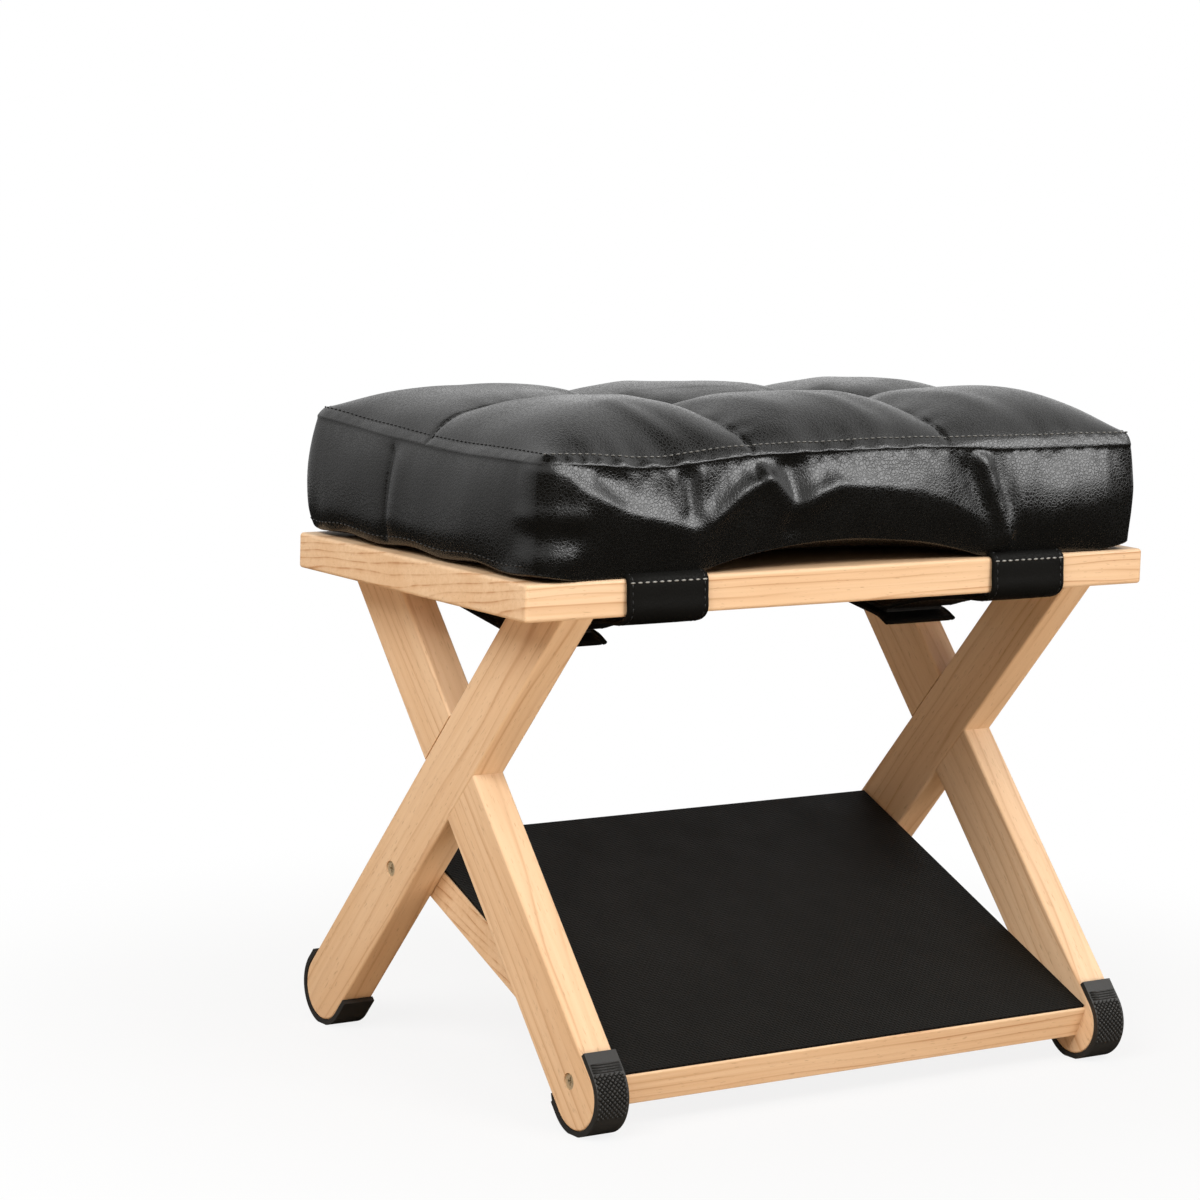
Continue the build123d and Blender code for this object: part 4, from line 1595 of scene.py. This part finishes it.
    def wrinkle(self, points: np.ndarray, normals: np.ndarray) -> np.ndarray:
        """Lift of the small wrinkles: rays round the tufts, puckers along seams and slow unevenness.

        Args:
            points: Points of the fine cover.
            normals: Their outward directions.

        Returns:
            The lift of each point.
        """
        small = self.wrinkles
        x, y, z = points.T
        top = smoothstep(0.3, 0.7, normals[:, 2])
        side = smoothstep(0.6, 0.3, np.abs(normals[:, 2]))
        lengthways = smoothstep(0.5, 0.8, np.abs(normals[:, 1]))
        along = np.where(np.abs(normals[:, 1]) > np.abs(normals[:, 0]), x, y)
        lift = np.zeros(len(points))
        for tuft_x, phase in ((-self.seam_x, 0.4), (self.seam_x, 1.9)):
            gap = np.hypot(x - tuft_x, y)
            angle = np.arctan2(y, x - tuft_x)
            rays = np.cos(small.ray_count * angle + phase + 0.9 * np.sin(2 * angle + phase))
            fade = np.exp(-(gap / small.ray_reach) ** 2) * smoothstep(0.004, 0.014, gap)
            lift += top * small.rays * rays * fade
        for gap, run, pace in ((x + self.seam_x, y, 57.0), (x - self.seam_x, y, 57.0), (y, x, 49.0)):
            row = ripple(run, small.pucker_pitch, 2.6, pace)
            lift += top * small.pucker * np.exp(-np.abs(gap) / small.pucker_reach) * row
            lift -= top * small.groove * np.exp(-(gap / small.groove_width) ** 2)
        # Pulls inside the rim of the top
        inward = np.clip(self.half_depth - np.abs(y), 0, None)
        pull = smoothstep(0.190, 0.150, np.abs(x)) * np.exp(-inward / small.pucker_reach)
        lift += top * small.pucker * ripple(x, small.rim_pitch, 3.1, 41.0) * pull
        # Puckers below the band
        band = self.edge_height(x, y) - self.band_drop
        below = np.clip(band - z, 0, None)
        fade = np.exp(-below / small.side_reach) * smoothstep(0.002, 0.006, below)
        rise = small.side_pucker[0] + small.side_pucker[1] * lengthways
        lift += side * rise * ripple(along, small.side_pitch, 2.4, 61.0) * fade
        # Unevenness of the band itself
        outside = np.maximum(np.abs(x) - self.half_length, np.abs(y) - self.half_depth)
        level = (z - band - self.band_drop * 0.55) / (self.band_drop * 0.35)
        on_band = np.exp(-level ** 2) * smoothstep(-0.001, 0.001, outside) * smoothstep(0.2, 0.4, normals[:, 2])
        rise = small.band[0] + small.band[1] * lengthways
        lift += rise * on_band * ripple(along, small.band_pitch, 3.0, 71.0)
        for share, rise, pace in ((top + side, small.slow, small.slow_pace),
                                  (side * lengthways, small.mottle, small.mottle_pace)):
            patches = np.array([noise.noise(Vector(point) * pace) for point in points])
            lift += share * rise * patches
        return lift

    def build(self) -> None:
        """Make the cover, its stitches and the foam."""
        laid = self.cover_mesh()
        cover = new_piece("cushion_cover_sewn", laid.points, laid.faces)
        dress(cover, self.leather)
        self.swell(cover, laid.held)
        finish = cover.modifiers.new("round", "SUBSURF")
        finish.levels = finish.render_levels = 1
        mesh = settled(cover)
        cover.modifiers.remove(finish)
        cover.data = mesh
        fine = mesh_points(mesh)
        normals = mesh_normals(mesh)
        fine += normals * self.wrinkle(fine, normals)[:, None]
        mesh.vertices.foreach_set("co", fine.ravel())
        mesh.update()
        hand_over(cover, "cushion")
        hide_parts("cushion_cover")
        normals = mesh_normals(mesh)
        lifts = {seam: self.stitch_lift for seam in Seam} | {Seam.BAND_LOW: self.sunk_stitch_lift}
        chains = {seam: fine[row] + normals[row] * lifts[seam] for seam, row in laid.seams.items()}
        front = chains.pop(Seam.BAND_FRONT)
        for name, sewing, rows in (("cushion_stitches", self.sewing, chains.values()),
                                   ("cushion_front_stitches", self.front_sewing, [front])):
            hand_over(sewing.sew(name, rows), "cushion")
        self.build_foam(laid)

    def build_foam(self, laid: CoverMesh) -> None:
        """Make the foam as the cover's form drawn in on all sides."""
        middle = np.array((0.0, 0.0, (self.board + self.edge) / 2))
        half = np.array((self.half_length, self.half_depth, (self.edge - self.board) / 2))
        points = middle + (laid.points - middle) * (1 - self.foam_inset / half)
        foam = new_piece("cushion_foam_block", points, laid.faces)
        dress(foam, self.foam)
        hand_over(foam, "cushion")
        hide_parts("cushion_foam")


def evened(mesh: Mesh, field: np.ndarray, rounds: int, held: list[int]) -> np.ndarray:
    """Even out a field over a mesh.

    Args:
        mesh: The mesh.
        field: One row for each vertex.
        rounds: How often each vertex takes the mean of itself and its neighbours.
        held: Vertices that stay at zero.

    Returns:
        The evened field.
    """
    edges = np.empty(len(mesh.edges) * 2, int)
    mesh.edges.foreach_get("vertices", edges)
    first, second = edges.reshape(-1, 2).T
    count = np.ones(len(field))
    np.add.at(count, first, 1)
    np.add.at(count, second, 1)
    for _ in range(rounds):
        total = field.copy()
        np.add.at(total, first, field[second])
        np.add.at(total, second, field[first])
        field = total / count[:, None]
        field[held] = 0.0
    return field


def mesh_points(mesh: Mesh) -> np.ndarray:
    """Coordinates of a mesh's vertices, one row each."""
    flat = np.empty(len(mesh.vertices) * 3)
    mesh.vertices.foreach_get("co", flat)
    return flat.reshape(-1, 3)


def mesh_normals(mesh: Mesh) -> np.ndarray:
    """Outward directions at a mesh's vertices, one row each."""
    flat = np.empty(len(mesh.vertices) * 3)
    mesh.vertex_normals.foreach_get("vector", flat)
    return flat.reshape(-1, 3)


@dataclass
class Fittings:
    """Mat, screws and hook-and-loop patches, which keep the shapes of the frame's nodes."""

    pile: Material

    def dress(self) -> None:
        """Give each of them its finish."""
        low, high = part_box("footboard_mat")
        slope = math.atan2(high.z - low.z, high.y - low.y)
        bronzed = MetalFinish("bronzed_screws", (0.62, 0.52, 0.36), (0.44, 0.35, 0.22), metallic=0.4)
        steel = MetalFinish("steel_screws", (0.60, 0.59, 0.57), (0.42, 0.41, 0.40))
        materials = {
            "footboard_mat": MatFinish("footboard_mat", slope).material(),
            "footboard_screws": bronzed.material(),
            "board_screws": steel.material(),
        }
        for side in Side:
            for half in ("hook", "loop"):
                materials[f"{side.word}_{half}_patch"] = self.pile
        for name, material in materials.items():
            dress(frame["nodes"][name], material)
            log.info("%s dressed in %s", name, material.name)


# Studio


@dataclass(frozen=True)
class Lamp:
    """A soft box."""

    name: str
    place: Point
    size: Span
    power: float  # in watts
    task: Task = Task.LIGHT

    def hang(self, target: Point) -> None:
        """Hang the lamp, turned towards a place."""
        data = bpy.data.lights.new(self.name, "AREA")
        data.shape = "RECTANGLE"
        data.size, data.size_y = self.size
        data.energy = self.power
        lamp = link(bpy.data.objects.new(self.name, data))
        lamp.location = self.place
        lamp.rotation_mode = "QUATERNION"
        lamp.rotation_quaternion = (Vector(target) - Vector(self.place)).to_track_quat("-Z", "Y")
        lamp.visible_glossy = self.task is Task.MIRROR
        lamp.visible_diffuse = self.task is Task.LIGHT


LAMPS = (
    Lamp("key", (0.7, -1.7, 2.2), (1.4, 1.2), 29.0),
    Lamp("front", (0.3, -2.3, 0.15), (1.5, 0.24), 19.0),
    Lamp("strip", (1.30, -1.65, 1.40), (1.7, 1.05), 37.0, Task.MIRROR),
    Lamp("fill", (-1.9, -0.9, 2.0), (1.6, 1.4), 63.0),
    Lamp("top", (0.0, 0.4, 2.3), (1.8, 1.4), 8.0),
)


@dataclass
class Studio:
    """Floor, lamps, pale surroundings and the camera."""

    camera_at: Point = (-1.245728, -1.710823, 0.546118)
    yaw: float = 0.596351
    pitch: float = 0.137390
    roll: float = 0.029946
    lens: float = 112.584
    sensor: float = 36.0
    clip: Span = (0.05, 50.0)
    floor_half: float = 12.0
    floor_roughness: float = 0.9
    floor_tone: float = 0.62
    floor_gloss_tone: float = 0.03
    shadow_reach: Span = (0.22, 0.60)
    shadow_share: Span = (0.86, 1.0)  # of plain white, near the object and away from it
    ambient: float = 0.25
    ambient_tint: Colour = (1.0, 0.81, 0.60)
    bounce: Colour = (0.66, 0.53, 0.39)  # of the floor under the object
    flag_radius: float = 2.3
    flag_height: float = 0.74
    flag_reach: Span = (-104.0, 82.0)  # degrees from the front towards the right
    wing_reach: Span = (-210.0, -104.0)
    wing_tone: float = 0.55
    card_stops: int = 33  # upright lines of a curved card
    card_black: float = 0.005
    ceiling_radius: float = 1.5
    ceiling_height: float = 2.7
    ceiling_sides: int = 48
    target: Point = (0.0, 0.0, 0.25)

    def camera(self) -> None:
        """Place the camera at the photograph's view."""
        data = bpy.data.cameras.new("camera")
        data.lens = self.lens
        data.sensor_width = self.sensor
        data.clip_start, data.clip_end = self.clip
        camera = link(bpy.data.objects.new("camera", data))
        level = math.cos(self.pitch)
        ahead = Vector((math.sin(self.yaw) * level, math.cos(self.yaw) * level, -math.sin(self.pitch)))
        right = Vector((math.cos(self.yaw), -math.sin(self.yaw), 0.0))
        up = right.cross(ahead)
        cos, sin = math.cos(self.roll), math.sin(self.roll)
        right, up = right * cos + up * sin, up * cos - right * sin
        turn = Matrix((right, up, -ahead)).transposed()
        camera.matrix_world = Matrix.Translation(self.camera_at) @ turn.to_4x4()
        bpy.context.scene.camera = camera

    def floor(self) -> None:
        """Lay a floor that is white to the eye and keeps a soft shadow round the object."""
        half = self.floor_half
        corners = np.array([(-half, -half, 0), (half, -half, 0), (half, half, 0), (-half, half, 0)])
        floor = new_piece("floor", corners, [[0, 1, 2, 3]], smooth=False)
        material, tree, shader = new_material("floor_paper")
        shader.inputs["Roughness"].default_value = self.floor_roughness
        shader.inputs["Specular IOR Level"].default_value = 0.0
        path = add_node(tree, "ShaderNodeLightPath").outputs
        tone = tint(tree, path["Is Diffuse Ray"], grey(self.floor_tone), self.bounce)
        tone = tint(tree, path["Is Glossy Ray"], tone, grey(self.floor_gloss_tone))
        tree.links.new(tone, shader.inputs["Base Color"])
        place = add_node(tree, "ShaderNodeTexCoord").outputs["Object"]
        gap = add_node(tree, "ShaderNodeVectorMath", links={0: place}, operation="LENGTH").outputs["Value"]
        fade = ranged(tree, gap, self.shadow_reach, self.shadow_share, "SMOOTHSTEP")
        white = add_node(tree, "ShaderNodeEmission", {"Color": WHITE, "Strength": 1.0})
        share = math_node(tree, "MULTIPLY", path["Is Camera Ray"], fade)
        mixed = add_node(tree, "ShaderNodeMixShader", links={
            0: share, 1: shader.outputs[0], 2: white.outputs[0],
        })
        tree.links.new(mixed.outputs[0], tree.nodes["Material Output"].inputs["Surface"])
        dress(floor, material)

    def cards(self) -> None:
        """Stand curved cards round the front and the left and hang one overhead, for glossy surfaces alone."""
        for name, reach, tone in (("flag", self.flag_reach, 0.0), ("wing", self.wing_reach, self.wing_tone)):
            angles = np.radians(np.linspace(*reach, self.card_stops))
            points = [(self.flag_radius * math.sin(a), -self.flag_radius * math.cos(a), z)
                      for a in angles for z in (0.0, self.flag_height)]
            faces = [[2 * n, 2 * n + 1, 2 * n + 3, 2 * n + 2] for n in range(len(angles) - 1)]
            self.hide(new_piece(name, np.array(points), faces), tone)
        turns = np.linspace(0, 2 * math.pi, self.ceiling_sides, endpoint=False)
        radius = self.ceiling_radius
        ring = [(radius * math.cos(a), radius * math.sin(a), self.ceiling_height) for a in turns]
        self.hide(new_piece("ceiling", np.array(ring), [list(range(len(ring)))], smooth=False), 0.0)

    def hide(self, card: Object, tone: float) -> None:
        """Keep a card out of sight, so that it shows in glossy surfaces alone.

        Args:
            card: The card.
            tone: Its grey.
        """
        material, _, shader = new_material(f"{card.name}_card")
        values = {"Base Color": (*grey(self.card_black), 1.0), "Specular IOR Level": 0.0,
                  "Emission Color": WHITE, "Emission Strength": tone}
        for name, value in values.items():
            shader.inputs[name].default_value = value
        dress(card, material)
        card.visible_camera = False
        card.visible_diffuse = False
        card.visible_shadow = False

    def surroundings(self) -> None:
        """White surroundings to the eye and in reflections, and a softer light on the object."""
        world = bpy.data.worlds.new("studio")
        bpy.context.scene.world = world
        world.use_nodes = True
        tree = world.node_tree
        tree.nodes.clear()
        path = add_node(tree, "ShaderNodeLightPath").outputs
        shown = math_node(tree, "MAXIMUM", path["Is Glossy Ray"], path["Is Transmission Ray"])
        seen = math_node(tree, "MAXIMUM", path["Is Camera Ray"], shown)
        soft = add_node(tree, "ShaderNodeBackground", {
            "Color": (*self.ambient_tint, 1.0), "Strength": self.ambient,
        })
        white = add_node(tree, "ShaderNodeBackground", {"Color": WHITE, "Strength": 1.0})
        mixed = add_node(tree, "ShaderNodeMixShader", links={0: seen, 1: soft.outputs[0], 2: white.outputs[0]})
        add_node(tree, "ShaderNodeOutputWorld", links={0: mixed.outputs[0]})

    def build(self) -> None:
        """Set up the whole studio."""
        bpy.context.scene.view_settings.view_transform = "Standard"
        self.camera()
        self.floor()
        self.cards()
        self.surroundings()
        for lamp in LAMPS:
            lamp.hang(self.target)


def main() -> None:
    """Build and dress the footrest, then set up the studio."""
    logging.basicConfig(level=logging.INFO, format="%(name)s: %(message)s")
    rubber = RubberFinish("foot_rubber").material()
    cover_leather = LeatheretteFinish("cover_leatherette").material()
    strap_leather = LeatheretteFinish("strap_leatherette", (0.0035, 0.0034, 0.0030), (0.0060, 0.0058, 0.0052),
                                      roughness=(0.42, 0.55), gloss=0.07).material()
    black_thread = FibreFinish("black_thread", grey(0.006), grey(0.02), 0.0005, 0.0001, 0.32).material()
    # The front band's stitches: the black thread drawn grey, a painted highlight of the light that catches them at
    # the front.
    worn_thread = FibreFinish("worn_thread", (0.05, 0.05, 0.048), (0.17, 0.17, 0.16), 0.0022, 0.0001,
                              0.4).material()
    # The straps' tack rows: the black thread drawn pale grey, a painted highlight of the light that catches them.
    grey_thread = FibreFinish("grey_thread", (0.10, 0.10, 0.095), (0.44, 0.44, 0.42), 0.0030, 0.0001,
                              0.5).material()
    pile = FibreFinish("hook_and_loop", grey(0.008), grey(0.03), 0.0005, 0.0004, 0.9).material()
    foam = FibreFinish("cushion_foam", (0.72, 0.66, 0.48), (0.82, 0.77, 0.62), 0.0016, 0.0006, 0.9).material()

    WoodFrame().dress()
    FootStrips(rubber).build()
    Fittings(pile).dress()
    Straps(strap_leather, Sewing(black_thread), Sewing(grey_thread, radius=0.0005)).build()
    Cushion(cover_leather, foam, Sewing(black_thread), Sewing(worn_thread)).build()
    Studio().build()


if __name__ == "__main__":
    main()
